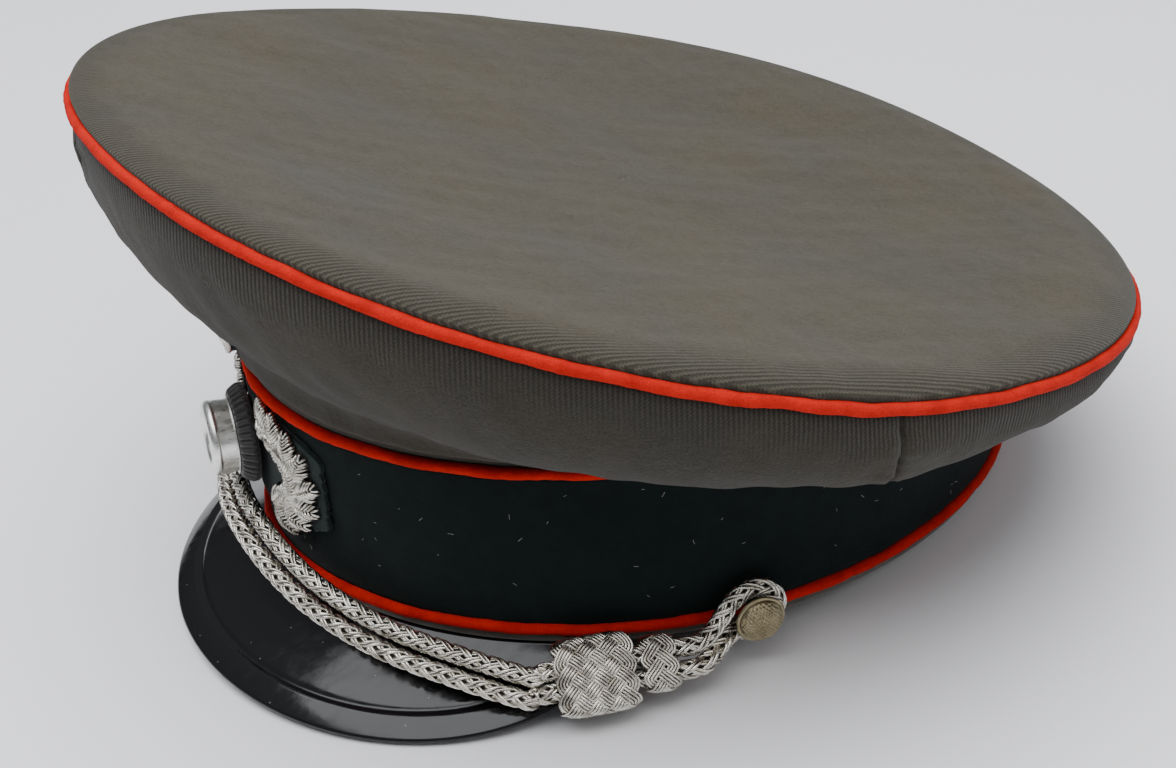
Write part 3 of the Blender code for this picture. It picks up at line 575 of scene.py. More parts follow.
TOP_TONE = (0.059, 0.054, 0.041)
# The side cloth is the top's cloth in a darker tone: painted shade on the crown's sides, which the
# light from above reaches less.
SIDE_TONE_WITH_PAINTED_SHADE = (0.036, 0.033, 0.027)
LOOKS = {
    "crown_top": look_crown_cloth("crown_tricot_top", 1.10 * MM, 12 * MM, TOP_TONE),
    "crown_side": look_crown_cloth("crown_tricot_side_shaded", 1.12 * MM, 15 * MM, SIDE_TONE_WITH_PAINTED_SHADE),
    "piping": look_felt("piping_felt", (0.42, 0.007, 0.003), (0.62, 0.020, 0.008), 0.0),
    "band": look_felt("band_felt", (0.0011, 0.0042, 0.0042), (0.0028, 0.0085, 0.0082), 0.03),
    "backing": look_felt("backing_felt", (0.0030, 0.0075, 0.0070), (0.012, 0.024, 0.022), 0.1),
    "edge": look_felt("edge_cloth", (0.050, 0.042, 0.034), (0.105, 0.092, 0.074), 0.3),
    "lint": look_felt("lint_fibre", (0.30, 0.30, 0.28), (0.55, 0.54, 0.50), 0.2),
    "thread": look_felt("seam_thread", (0.030, 0.028, 0.022), (0.075, 0.070, 0.055), 0.2),
    "leather_thread": look_felt("leather_thread", (0.45, 0.35, 0.20), (0.62, 0.50, 0.32), 0.2),
    "peak": look_peak(),
    "silver": look_wire("silver_wire", (0.78, 0.75, 0.68), (0.34, 0.31, 0.26), 0.22, 0.55 * MM),
    "bullion": look_wire("bullion_wire", (0.78, 0.75, 0.68), (0.34, 0.31, 0.26), 0.24, 0.35 * MM),
    # Near-black core under the cord's and the knots' wires: painted shade in the gaps between the
    # wires.
    "gap_shade_core": look_wire("gap_shade_core", (0.030, 0.027, 0.022), (0.012, 0.011, 0.009), 0.6, 0.5 * MM),
    "button": look_metal("button_metal", (0.34, 0.29, 0.18), (0.20, 0.17, 0.10), 0.40,
                         (1.0, 1.0, 1.0), 0.25 * MM),
    "boss": look_metal("boss_metal", (0.80, 0.80, 0.77), (0.64, 0.63, 0.59), 0.34,
                       (1.0, 0.06, 1.0), 0.5 * MM),
    "steel": look_metal("steel_wire", (0.50, 0.50, 0.50), (0.30, 0.28, 0.26), 0.36,
                        (1.0, 1.0, 1.0), 0.6 * MM),
    "silk": look_silk(),
    "leather": look_leather(),
    "satin": look_satin(),
    "film": look_film(),
    "board": look_board(),
}


# ---- Crown --------------------------------------------------------------------------------------
def crown_relief(points):
    """How far the crown's cloth stands off its cut: slack over the stuffing and the wire."""
    return 0.55 * MM * ripple(points, 28 * MM, 11) + 0.18 * MM * ripple(points, 7 * MM, 12)


def front_swell(angle, s):
    """The front sags over the band's piping, with a crease above the sag."""
    def swelling(height, place, spread):
        return height * np.exp(-((s - place) / spread) ** 2)

    front = smooth(np.cos(angle), 0.3, 0.85)
    sag = swelling(3.0 * MM, 0.13, 0.10)
    crease = swelling(0.9 * MM, 0.36, 0.07)
    return (sag - crease) * front


def make_crown_top():
    around, rows = 420, 90
    angle = np.linspace(0.0, TAU, around, endpoint=False)[:, None]
    v = np.linspace(0.0, 1.0, rows)[None, :]
    share = (1.0 - v ** 1.6) * 0.999
    points = crown_top_point(angle, share)
    rim = rim_point(angle, 1.0)
    from_rim = (1.0 - share) * np.linalg.norm(rim[..., :2] - (0.0, RIM_CENTRE_Y), axis=-1)
    calm = smooth(from_rim, 0.5 * MM, 9 * MM)
    points[..., 2] += crown_relief(points) * calm
    tuck = rim_point(angle, 0.9945)
    tuck[..., 2] += 0.4 * MM
    points = np.concatenate((tuck, points), axis=1)
    points[:, -1] = points[:, -1].mean(0)
    from_rim = np.concatenate((np.zeros((around, 1)), from_rim), axis=1)
    cloth = vectors(points[..., 0], points[..., 1], from_rim)
    top = add_piece(
        "crown_top_cloth", points, [grid_faces(around, rows + 1, True)], LOOKS["crown_top"],
        "cap", ["crown_top"], cloth,
    )
    thicken(top, 0.9 * MM)
    return top


def side_panel(name, start, end, node):
    """One of the four side panels, from the band's piping to the rim's."""
    across, along = int(120 * (end - start) / (math.pi / 2.0)), 72
    gap = 0.0006
    angle = np.linspace(start + gap, end - gap, across)[:, None]
    s = np.linspace(0.0, 1.0, along)[None, :]
    rim_pace = np.linalg.norm(rim_point(angle + 0.01) - rim_point(angle - 0.01), axis=-1) / 0.02
    from_seam = np.minimum(angle - start, end - angle) * rim_pace
    outline = crown_side_outline(angle, s)
    held = smooth(s, 0.0, 0.10) * smooth(1.0 - s, 0.0, 0.10)
    stitches = np.sin(s * TAU * 22.0) * np.exp(-(from_seam / (3.5 * MM)) ** 2)
    groove = 0.7 * MM * np.exp(-(from_seam / (1.0 * MM)) ** 2)
    pucker = 0.5 * MM * np.exp(-(from_seam / (9 * MM)) ** 2) * ripple(outline, 6 * MM, 15)
    inward = groove + 0.20 * MM * stitches - (crown_relief(outline) + pucker) * held
    inward = inward - front_swell(angle, s)
    points = crown_side_point(angle, s, inward)
    head = rim_point(angle, 0.9925) - (0.0, 0.0, 0.3 * MM)
    foot = band_point(angle, UPPER_PIPING_Z + 0.3 * MM, -1.0 * MM)
    points = np.concatenate((foot, points, head), axis=1)
    up_the_side = np.cumsum(np.linalg.norm(np.diff(points, axis=1), axis=-1), axis=1)
    height = np.concatenate((np.zeros((across, 1)), up_the_side), axis=1)
    from_rim = height[:, -1:] - height
    arc = np.concatenate(([0.0], np.cumsum(np.linalg.norm(np.diff(rim_point(angle[:, 0]),
                                                                  axis=0), axis=-1))))
    cloth = vectors(arc[:, None], height, from_rim)
    panel = add_piece(
        name, points, [grid_faces(across, along + 2)], LOOKS["crown_side"], "cap",
        [node], cloth,
    )
    thicken(panel, 0.9 * MM)
    return panel


def make_crown_sides():
    for side, sign in (("left", 1.0), ("right", -1.0)):
        for place, start, end in (("front", 0.0, SIDE_SEAM), ("rear", SIDE_SEAM, math.pi)):
            ends = sorted((sign * start, sign * end))
            side_panel(
                f"crown_{place}_panel_{side}", ends[0], ends[1], f"crown_side_{place}_{side}"
            )


def felt_piping(name, centre, radius, seed, node, lap_angle=None):
    """A folded felt strip seen as a cord: uneven, with a lap where its ends meet."""
    steps, sides = 620, 16
    angle = np.linspace(0.0, TAU, steps, endpoint=False)
    path = centre(angle)
    uneven = 1.0 + 0.05 * ripple(path, 5 * MM, seed) + 0.03 * ripple(path, 1.6 * MM, seed + 1)
    if lap_angle is not None:
        uneven += 0.28 * np.exp(-((angle - lap_angle) / 0.018) ** 2)
    wobble = 0.16 * MM * ripple(path, 7 * MM, seed + 2)
    path[:, 2] += wobble
    normals = np.broadcast_to((0.0, 0.0, 1.0), path.shape)
    points, groups = sweep(path[None], normals[None], (radius * uneven)[None], sides, True)
    rough = 0.035 * MM * ripple(points, 0.5 * MM, seed + 3)
    points += unit(points - np.repeat(path, sides, 0)) * rough[:, None]
    return add_piece(name, points, groups, LOOKS["piping"], "cap", [node])


def make_pipings():
    felt_piping("crown_piping_felt", rim_point, PIPING_RADIUS * 1.02, 31, "crown_piping", 3.32)
    for name, height, seed in (("upper", UPPER_PIPING_Z, 41), ("lower", LOWER_PIPING_Z, 51)):
        felt_piping(
            f"band_{name}_piping_felt",
            lambda angle, height=height: band_point(angle, height, 0.4 * MM),
            PIPING_RADIUS, seed, f"band_{name}_piping", 3.14,
        )


# ---- Band ---------------------------------------------------------------------------------------
def band_strip(name, bottom, top, out, rows, material, node, seed, tuck=0.0):
    """A strip of cloth round the band; tuck turns its edges in behind the pipings."""
    steps = 420
    angle = np.linspace(0.0, TAU, steps, endpoint=False)[:, None]
    z = np.linspace(bottom, top, rows)[None, :]
    points = band_point(angle, z, out)
    middle = np.sin(np.linspace(0.0, math.pi, rows))[None, :] ** 0.5
    relief = 0.28 * MM * ripple(points, 22 * MM, seed) * middle
    points = band_point(angle, z, out + relief)
    if tuck:
        edges = [band_point(angle, height, out - tuck) for height in (bottom, top)]
        points = np.concatenate((edges[0], points, edges[1]), axis=1)
    cloth = vectors(angle * BAND_HALF_LENGTH, points[..., 2], 0.0)
    return add_piece(
        name, points, [grid_faces(steps, points.shape[1], True)], material, "cap",
        [node], cloth,
    )


def make_band():
    felt = band_strip(
        "band_felt_strip", LOWER_PIPING_Z + 1.0 * MM, UPPER_PIPING_Z - 1.0 * MM, 0.0, 24,
        LOOKS["band"], "band_cloth", 61,
    )
    thicken(felt, 1.0 * MM)
    edge = band_strip(
        "band_edge_binding", 0.1 * MM, LOWER_PIPING_Z - 0.9 * MM, 0.1 * MM, 6,
        LOOKS["edge"], "band_edge_cloth", 62, 0.6 * MM,
    )
    thicken(edge, 0.8 * MM)
    board = band_strip(
        "band_stiffener_board", 0.6 * MM, 47.8 * MM, -1.6 * MM, 8, LOOKS["board"],
        "band_stiffener", 63,
    )
    thicken(board, 1.0 * MM)
    girth = float(np.linalg.norm(np.diff(band_point(np.linspace(0, TAU, 200), 0.03), axis=0),
                                 axis=-1).sum())


def make_sweatband():
    """Leather band inside the cap, lightly waved where a head has shaped it, with its stitching."""
    opening = 0.010  # half the gap at the back, as an angle
    steps, rows = 360, 26
    angle = math.pi + np.linspace(opening, TAU - opening, steps)[:, None]
    v = np.linspace(0.0, 1.0, rows)[None, :]
    foot, tall = 0.6 * MM, 41.0 * MM
    z = foot + tall * v
    place = band_point(angle, z, 0.0)
    sway = 0.55 * MM * ripple(place, 30 * MM, 71) * v
    points = band_point(angle, z, -5.0 * MM - 1.0 * MM * v + sway)
    leather = add_piece(
        "sweatband_leather_strip", points, [grid_faces(steps, rows)], LOOKS["leather"], "cap",
        ["sweatband"],
    )
    thicken(leather, 1.0 * MM)
    around = float(np.linalg.norm(np.diff(points[:, 0], axis=0), axis=-1).sum())
    tape_angle = math.pi + np.linspace(-0.07, 0.07, 24)[:, None]
    tape_z = np.linspace(3.0, 36.0, 40)[None, :] * MM
    tape_points = band_point(tape_angle, tape_z, -3.9 * MM + 0.1 * MM * np.sin(tape_z * 3000.0))
    tape = add_piece(
        "sweatband_tape_strip", tape_points, [grid_faces(24, 40)], LOOKS["leather"], "cap",
        ["sweatband_tape"],
    )
    thicken(tape, 0.4 * MM)
    count = 170
    middles = math.pi + 0.02 + (TAU - 0.04) * (np.arange(count) + 0.5) / count
    stitch = 0.022
    reach = np.linspace(-0.5, 0.5, 7) * stitch
    paths = []
    for row_z in (3.2 * MM, 38.6 * MM):
        at = middles[:, None] + reach[None, :]
        rise = -6.25 * MM - 0.4 * MM * np.cos(reach / stitch * math.pi)
        paths.append(band_point(at, row_z, rise[None, :] - 0.9 * MM * (row_z / tall)))
    paths = np.concatenate(paths)
    stitch_points, stitch_faces = sweep(paths, (0.0, 0.0, 1.0), 0.22 * MM, 6)
    add_piece(
        "sweatband_stitches", stitch_points, stitch_faces, LOOKS["leather_thread"], "cap",
    )


def lining_drop(angle, share):
    return 0.0062 + 0.0023 * np.cos(angle) * share


def make_lining():
    """Satin lining: the side is gathered on its stitched edge and smooth where it meets the top."""
    steps, rows = 480, 40
    angle = np.linspace(0.0, TAU, steps, endpoint=False)[:, None]
    v = np.linspace(0.0, 1.0, rows)[None, :]
    tail_share = 0.25
    tail = band_point(angle, 0.0375 + 0.0177 * np.minimum(v / tail_share, 1.0), -4.4 * MM)
    share = 0.905
    head = crown_top_point(angle, share, lining_drop(angle, share) + 1.3 * MM)
    climb = np.clip((v - tail_share) / (1.0 - tail_share), 0.0, 1.0)
    points = tail + (head - tail) * column(climb)
    folds = np.sin(angle * 58.0 + 2.0 * np.sin(angle * 7.0)) * np.sin(v * math.pi) ** 0.7
    outward = unit(points * (1.0, 1.0, 0.0))
    points = points - outward * column(0.5 * MM * (1.0 + folds))
    cloth = vectors(angle * 0.1, v * 0.09, 0.0)
    side = add_piece(
        "lining_side_satin", points, [grid_faces(steps, rows, True)], LOOKS["satin"], "cap",
        ["lining_side"], cloth,
    )
    thicken(side, 0.35 * MM)

    top_rows = 60
    v = np.linspace(0.0, 1.0, top_rows)[None, :]
    share = 0.893 * (1.0 - v)
    points = crown_top_point(angle, share, lining_drop(angle, share))
    points[..., 2] -= 0.30 * MM * (1.0 + ripple(points, 18 * MM, 81))
    points[:, -1] = points[:, -1].mean(0)
    cloth = vectors(points[..., 0], points[..., 1], 0.0)
    top = add_piece(
        "lining_top_satin", points, [grid_faces(steps, top_rows, True)], LOOKS["satin"], "cap",
        ["lining_top"], cloth,
    )
    thicken(top, 0.35 * MM)
    v = np.linspace(0.0, 1.0, 24)[None, :]
    share = 0.42 * (1.0 - v)
    points = crown_top_point(angle, share, lining_drop(angle, share) + 1.4 * MM)
    points[:, -1] = points[:, -1].mean(0)
    shield = add_piece(
        "sweat_shield_film", points, [grid_faces(steps, 24, True)], LOOKS["film"], "cap",
        ["sweat_shield"],
    )
    thicken(shield, 0.3 * MM)


# ---- Peak ---------------------------------------------------------------------------------------
def make_peak():
    """Moulded fibre peak: a flat raised rim, a groove inside it and a slightly dished field."""
    across, rows = 260, 74
    angle = np.linspace(1.0, -1.0, across)[:, None] * PEAK_HALF_ANGLE * 0.985
    share = 1.0 - np.linspace(1.0, 0.0, rows)[None, :] ** 1.35
    width = peak_width(angle)
    distance = width * share
    from_edge = width - distance
    fit = np.minimum(1.0, width / (0.62 * PEAK_DEPTH))
    rim_in, groove_in = 6.6 * MM * fit, 8.4 * MM * fit
    on_rim = 1.0 - smooth(from_edge, rim_in, groove_in)
    groove = np.exp(-((from_edge - groove_in) / (0.8 * MM * fit + 1e-6)) ** 2)
    crowned = np.sin(np.clip(from_edge / np.maximum(rim_in, 1e-6), 0.0, 1.0) * math.pi)
    rounding = np.sqrt(np.clip(1.0 - (1.0 - np.clip(from_edge / (0.9 * MM), 0, 1)) ** 2, 0, 1))
    dish = np.sin(np.clip((distance) / np.maximum(width - groove_in, 1e-6), 0, 1) * math.pi)
    lift = 0.75 * MM * on_rim * rounding * fit - 0.25 * MM * groove * fit
    lift = lift + 0.16 * MM * crowned * fit - 0.5 * MM * dish * fit
    points = peak_point(angle, distance, lift)
    flange_out = -3.1 * MM
    flange = [band_point(angle, z, flange_out) for z in (6.0 * MM, -0.6 * MM)]
    points = np.concatenate((*flange, points), axis=1)
    peak = add_piece(
        "peak_moulding", points, [grid_faces(across, rows + 2)[:, ::-1]], LOOKS["peak"], "cap",
        ["peak"],
    )
    thicken(peak, PEAK_THICKNESS * 0.9, 1.0)
    return peak


# ---- Buttons ------------------------------------------------------------------------------------
def turned(profile, steps, place, axis, relief=None):
    """Points and faces of a profile of (radius, height) turned round an axis at a place."""
    profile = np.asarray(profile, float)
    turn = np.linspace(0.0, TAU, steps, endpoint=False)[:, None]
    radius, height = profile[None, :, 0], profile[None, :, 1]
    if relief is not None:
        radius, height = relief(turn, radius, height)
    across = unit(np.cross(axis, (0.0, 0.0, 1.0)))
    up = np.cross(across, axis)
    points = (
        np.asarray(place)
        + across * column(radius * np.cos(turn))
        + up * column(radius * np.sin(turn))
        + np.asarray(axis, float) * column(height + 0.0 * turn)
    )
    return points.reshape(-1, 3), [grid_faces(steps, profile.shape[0], True)]


def make_button(side_name, side):
    """A pebbled dome inside a thin smooth rim."""
    rise, rim_height = 3.4 * MM, 0.8 * MM
    lean = np.linspace(0.0, math.pi / 2.0, 64)
    dome = np.stack((0.90 * BUTTON_RADIUS * np.sin(lean), rim_height + rise * np.cos(lean)), 1)
    rim_turn = np.linspace(math.pi * 0.95, -math.pi * 0.5, 14)
    rim_centre = (BUTTON_RADIUS - 0.55 * MM, rim_height)
    rim = np.stack((rim_centre[0] + 0.55 * MM * np.cos(rim_turn),
                    rim_centre[1] + 0.55 * MM * np.sin(rim_turn)), 1)
    back = np.array(((BUTTON_RADIUS - 1.0 * MM, 0.0), (0.0, 0.0)))
    profile = np.concatenate((dome, rim, back))
    profile[:, 1] += BUTTON_BASE_OUT

    def pebbles(turn, radius, height):
        x, y = radius * np.cos(turn), radius * np.sin(turn)
        pace = TAU / (0.80 * MM)
        warp = 0.8 * np.sin(x * 2100.0 + 1.0) + 0.8 * np.sin(y * 1700.0)
        dots = sum(
            np.cos(pace * (x * math.cos(lean) + y * math.sin(lean)) + warp)
            for lean in (0.3, 0.3 + TAU / 6.0, 0.3 + TAU / 3.0)
        )
        on_dome = smooth(0.88 * BUTTON_RADIUS - radius, 0.0, 0.5 * MM)
        on_dome = on_dome * (height > BUTTON_BASE_OUT + 0.3 * MM)
        return radius, height + 0.20 * MM * np.clip(dots / 1.5, -0.8, 1.4) * on_dome

    place = band_point(np.array(BUTTON_ANGLE), BUTTON_Z) * (side, 1.0, 1.0)
    points, faces = turned(profile, 160, place, (side, 0.0, 0.0), pebbles)
    add_piece(
        f"side_button_face_{side_name}", points, faces, LOOKS["button"], "cap",
        [f"side_button_{side_name}"],
    )


# ---- Chin cord ----------------------------------------------------------------------------------
def smooth_route(stops, per_span):
    """Catmull-Rom curve through the stops."""
    t = (np.arange(per_span) / per_span)[:, None]
    spans = []
    for before, start, end, after in zip(stops, stops[1:], stops[2:], stops[3:]):
        spans.append(0.5 * (
            start * 2.0 + (end - before) * t
            + (before * 2.0 - start * 5.0 + end * 4.0 - after) * t ** 2
            + (start * 3.0 - before - end * 3.0 + after) * t ** 3
        ))
    return np.concatenate((*spans, stops[-2:-1]))


def knot_direction():
    around = np.cross(band_outward(np.radians(67.0)), (0.0, 0.0, -1.0))
    inward = band_outward(np.radians(67.0)) * -0.13
    return unit(around + inward + (0.0, 0.0, 0.06))


KNOT_PLACE = band_point(np.radians(65.6), -1.2 * MM, 11.8 * MM)
KNOT_AXIS = knot_direction()
KNOT_RUN_START = KNOT_PLACE - KNOT_AXIS * 17.8 * MM
KNOT_RUN_END = KNOT_PLACE + KNOT_AXIS * 24.5 * MM
KEEPER_PLACE = KNOT_PLACE + KNOT_AXIS * KNOT_SPAN


def cord_stack_direction(centre):
    inward = -unit(np.asarray(centre) * (1.0, 1.0, 0.0))
    return inward * math.sin(CORD_LEAN) + (0.0, 0.0, math.cos(CORD_LEAN))


def cord_centre_line():
    """From the middle of the front to the straight run that carries the left knots."""
    front = [
        band_point(np.radians(angle), z * MM, out * MM)
        for angle, z, out in (
            (-9.0, 13.2, 9.4), (0.0, 14.0, 9.2), (9.0, 13.2, 9.4), (17.0, 10.0, 9.6),
            (25.0, 6.4, 9.9), (34.0, 3.0, 10.4), (43.0, 0.4, 11.2),
        )
    ]
    straight = [
        KNOT_RUN_START + (KNOT_RUN_END - KNOT_RUN_START) * share
        for share in (0.0, 0.1, 0.5, 0.9, 1.0, 1.25)
    ]
    return smooth_route(np.array(front + straight), 12)


def bridge(before, start, end, after, steps):
    """A smooth join between two lines, without its own ends."""
    reach = np.linalg.norm(end - start) * 0.33
    out = start + unit(start - before) * reach
    back = end + unit(end - after) * reach
    t = (np.arange(1, steps) / steps)[:, None]
    rest = 1.0 - t
    return start * rest ** 3 + out * 3 * t * rest ** 2 + back * 3 * t ** 2 * rest + end * t ** 3


def cord_route():
    """The closed cord's centre line, and the way out from the middle of its pair of runs."""
    centres = cord_centre_line()
    stack = cord_stack_direction(centres)
    upper, lower = centres + stack * CORD_SPACING / 2.0, centres - stack * CORD_SPACING / 2.0
    pivot = band_point(np.array(BUTTON_ANGLE), BUTTON_Z) + (LOOP_OUT, 0.0, 0.0)
    turn = np.radians(np.linspace(112.0, -112.0, 49))
    radial = vectors(0.0, np.cos(turn), np.sin(turn))
    loop = pivot + radial * LOOP_RADIUS
    steps = 16
    going = bridge(upper[-2], upper[-1], loop[0], loop[1], steps)
    coming = bridge(loop[-2], loop[-1], lower[-1], lower[-2], steps)
    share = (np.arange(1, steps) / steps)[:, None]
    route = np.concatenate((upper, going, loop, coming, lower[::-1]))
    away = np.concatenate((
        stack, stack[-1] * (1.0 - share) + radial[0] * share, radial,
        radial[-1] * (1.0 - share) - stack[-1] * share, -stack[::-1],
    ))
    mirror = np.array((-1.0, 1.0, 1.0))
    right_route, right_away = (route * mirror)[::-1], (away * mirror)[::-1]
    return (
        np.concatenate((route[:-1], right_route[:-1])),
        unit(np.concatenate((away[:-1], right_away[:-1]))),
    )


def evenly(route, others, spacing):
    """The closed route again with even steps, and its other vectors at the same places."""
    closed = np.concatenate((route, route[:1]))
    along = np.concatenate(([0.0], np.cumsum(np.linalg.norm(np.diff(closed, axis=0), axis=1))))
    count = int(along[-1] / spacing)
    at = np.linspace(0.0, along[-1], count, endpoint=False)

    def sample(values):
        values = np.concatenate((values, values[:1]))
        return np.stack([np.interp(at, along, values[:, axis]) for axis in range(3)], 1)

    return sample(route), unit(sample(others)), along[-1]


def make_chin_cord():
    """A round plait of 4 + 4 strands, over two and under two, each strand of two silver wires."""
    route, away = cord_route()
    route, away, length = evenly(route, away, 0.55 * MM)
    tangent = unit(np.roll(route, -1, 0) - np.roll(route, 1, 0))
    side = unit(np.cross(tangent, away))
    away = np.cross(side, tangent)
    sides, strands = 5, 4
    pitch, wire_radius, weave = 20.0 * MM, 0.46 * MM, 0.40 * MM
    half_away, half_side = CORD_RADIUS - 0.84 * MM, CORD_RADIUS - 0.84 * MM
    turns = round(length / pitch)
    sweep_angle = np.arange(len(route)) / len(route) * TAU * turns
    for hand_name, hand in (("s", 1.0), ("z", -1.0)):
        paths, normals = [], []
        for strand in range(strands):
            for wire in (-0.5, 0.5):
                theta = hand * sweep_angle + strand * TAU / strands + wire * 0.50
                # crossings come every eighth of a turn; the wave is over for two, under for two
                r = 4.0 * (hand * (theta - strand * TAU / strands)) / math.pi
                count = r + 2.0 * strand if hand > 0 else 2.0 * strand - r
                height = hand * weave * np.cos(math.pi * (count - 0.5) / 2.0)
                spread_away = (half_away + height) * np.cos(theta)
                spread_side = (half_side + height) * np.sin(theta)
                paths.append(route + away * column(spread_away) + side * column(spread_side))
                normals.append(away * column(np.cos(theta)) + side * column(np.sin(theta)))
        points, faces = sweep(np.array(paths), np.array(normals), wire_radius, sides, True)
        along = np.arange(len(route)) * length / len(route)
        along = np.tile(np.repeat(along, sides), len(paths))
        add_piece(
            f"chin_cord_strands_{hand_name}", points, faces, LOOKS["silver"], "cord",
            ["chin_cord"], vectors(along * 1.4, 0.0, 0.0),
        )
    # A near-black core inside the plait paints shade into the gaps between its wires.
    core_points, core_faces = sweep(route[None, ::3], away[None, ::3], 1.6 * MM, 10, True)
    add_piece(
        "chin_cord_core", core_points, core_faces, LOOKS["gap_shade_core"], "cord",
        cloth=np.zeros_like(core_points),
    )


class Sleeve:
    """A rounded-box sleeve round a stretch of cord: u runs round it and x along it."""

    def __init__(self, centre, along, stack, half_across, half_deep, half_long):
        self.centre, self.along = centre, along
        face = unit(np.cross(along, stack))
        self.across, self.face = unit(np.cross(face, along)), face
        self.half_long = half_long
        turn = np.linspace(0.0, TAU, 721)
        power = 2.0 / 3.4
        outline = np.stack((half_across * signed_power(np.cos(turn), power),
                            half_deep * signed_power(np.sin(turn), power)), 1)
        steps = np.linalg.norm(np.diff(outline, axis=0), axis=1)
        self.outline, self.lengths = outline, np.concatenate(([0.0], np.cumsum(steps)))
        self.girth = self.lengths[-1]

    def outline_at(self, u):
        at = np.mod(u, self.girth)
        return np.stack([np.interp(at, self.lengths, self.outline[:, k]) for k in (0, 1)], -1)

    def point(self, u, x, height):
        """A point at u and x, a height above the sleeve, and the way out there."""
        ring = self.outline_at(u)
        ahead = self.outline_at(u + 0.25 * MM) - self.outline_at(u - 0.25 * MM)
        out = unit(np.stack((ahead[..., 1], -ahead[..., 0]), -1))
        pinch = 1.0 - 0.13 * np.abs(x / self.half_long) ** 3.5
        ring = ring * column(pinch) + out * column(height)
        place = (
            self.centre + self.along * column(x)
            + self.across * column(ring[..., 0]) + self.face * column(ring[..., 1])
        )
        return place, self.across * column(out[..., 0]) + self.face * column(out[..., 1])


def woven_knot(name, sleeve, leads, bights, wires, wire_pitch, wire_radius, weave, body, node):
    """A Turk's head knot of flat bundles of wires worked round a sleeve."""
    crossings = 2 * leads * bights
    steps = crossings * 12
    t = np.arange(steps) / steps * TAU
    swing = np.cos(bights * t) * 0.97
    reach = sleeve.half_long - 0.5 * wires * wire_pitch
    u = leads * t / TAU * sleeve.girth
    x = reach * np.arcsin(swing) / math.asin(0.97)
    order = np.arange(crossings + 1)
    heights = np.where(order % leads == 0, 0.0, (-1.0) ** (order - order // leads))
    place = t * leads * bights / math.pi
    low = np.floor(place).astype(int)
    ease = smooth(place - low, 0.0, 1.0)
    height = heights[low] * (1.0 - ease) + heights[low + 1] * ease
    du = np.full(steps, leads / TAU * sleeve.girth)
    dx = np.gradient(x, t)
    heading = unit(np.stack((du, dx), -1))
    paths, normals = [], []
    for wire in np.arange(wires) - (wires - 1) / 2.0:
        wire_u = u - heading[:, 1] * wire * wire_pitch
        wire_x = x + heading[:, 0] * wire * wire_pitch
        points, out = sleeve.point(wire_u, wire_x, height * weave)
        paths.append(points)
        normals.append(out)
    points, faces = sweep(np.array(paths), np.array(normals), wire_radius, 5, True)
    along = np.tile(np.repeat(t * 0.13, 5), wires)
    made = add_piece(
        name, points, faces, LOOKS["silver"], body, [node],
        vectors(along, 0.0, 0.0),
    )
    # A near-black sleeve under the weave paints shade into the gaps between its wires.
    ring_u, ring_x = np.meshgrid(np.linspace(0.0, sleeve.girth, 72, endpoint=False),
                                 np.linspace(-reach, reach, 12), indexing="ij")
    core, _ = sleeve.point(ring_u, ring_x, -weave * 0.9)
    core_piece = add_piece(
        name + "_core", core, [grid_faces(72, 12, True)[:, ::-1]], LOOKS["gap_shade_core"], body,
        cloth=np.zeros_like(core),
    )
    thicken(core_piece, 0.25 * MM)
    return made


def make_knots():
    for side_name, side in (("left", 1.0), ("right", -1.0)):
        mirror = np.array((side, 1.0, 1.0))
        along = KNOT_AXIS * mirror
        for name, size, place, leads, bights, wires, body in (
            ("slide_knot", KNOT_SIZE, KNOT_PLACE, 7, 9, 5, "slide_"),
            ("keeper_knot", KEEPER_SIZE, KEEPER_PLACE, 3, 7, 4, "keeper_"),
        ):
            stack = cord_stack_direction(place) * mirror
            skin = 1.05 * MM
            sleeve = Sleeve(
                place * mirror, along, stack, size[1] / 2.0 - skin * 0.75, size[2] / 2.0 - skin * 0.8,
                size[0] / 2.0,
            )
            woven_knot(
                f"{name}_weave_{side_name}", sleeve, leads, bights, wires, 0.76 * MM,
                0.355 * MM, 0.42 * MM, body + side_name, f"{name}_{side_name}",
            )


# ---- Cockade ------------------------------------------------------------------------------------
FRONT = np.array((0.0, -1.0, 0.0))


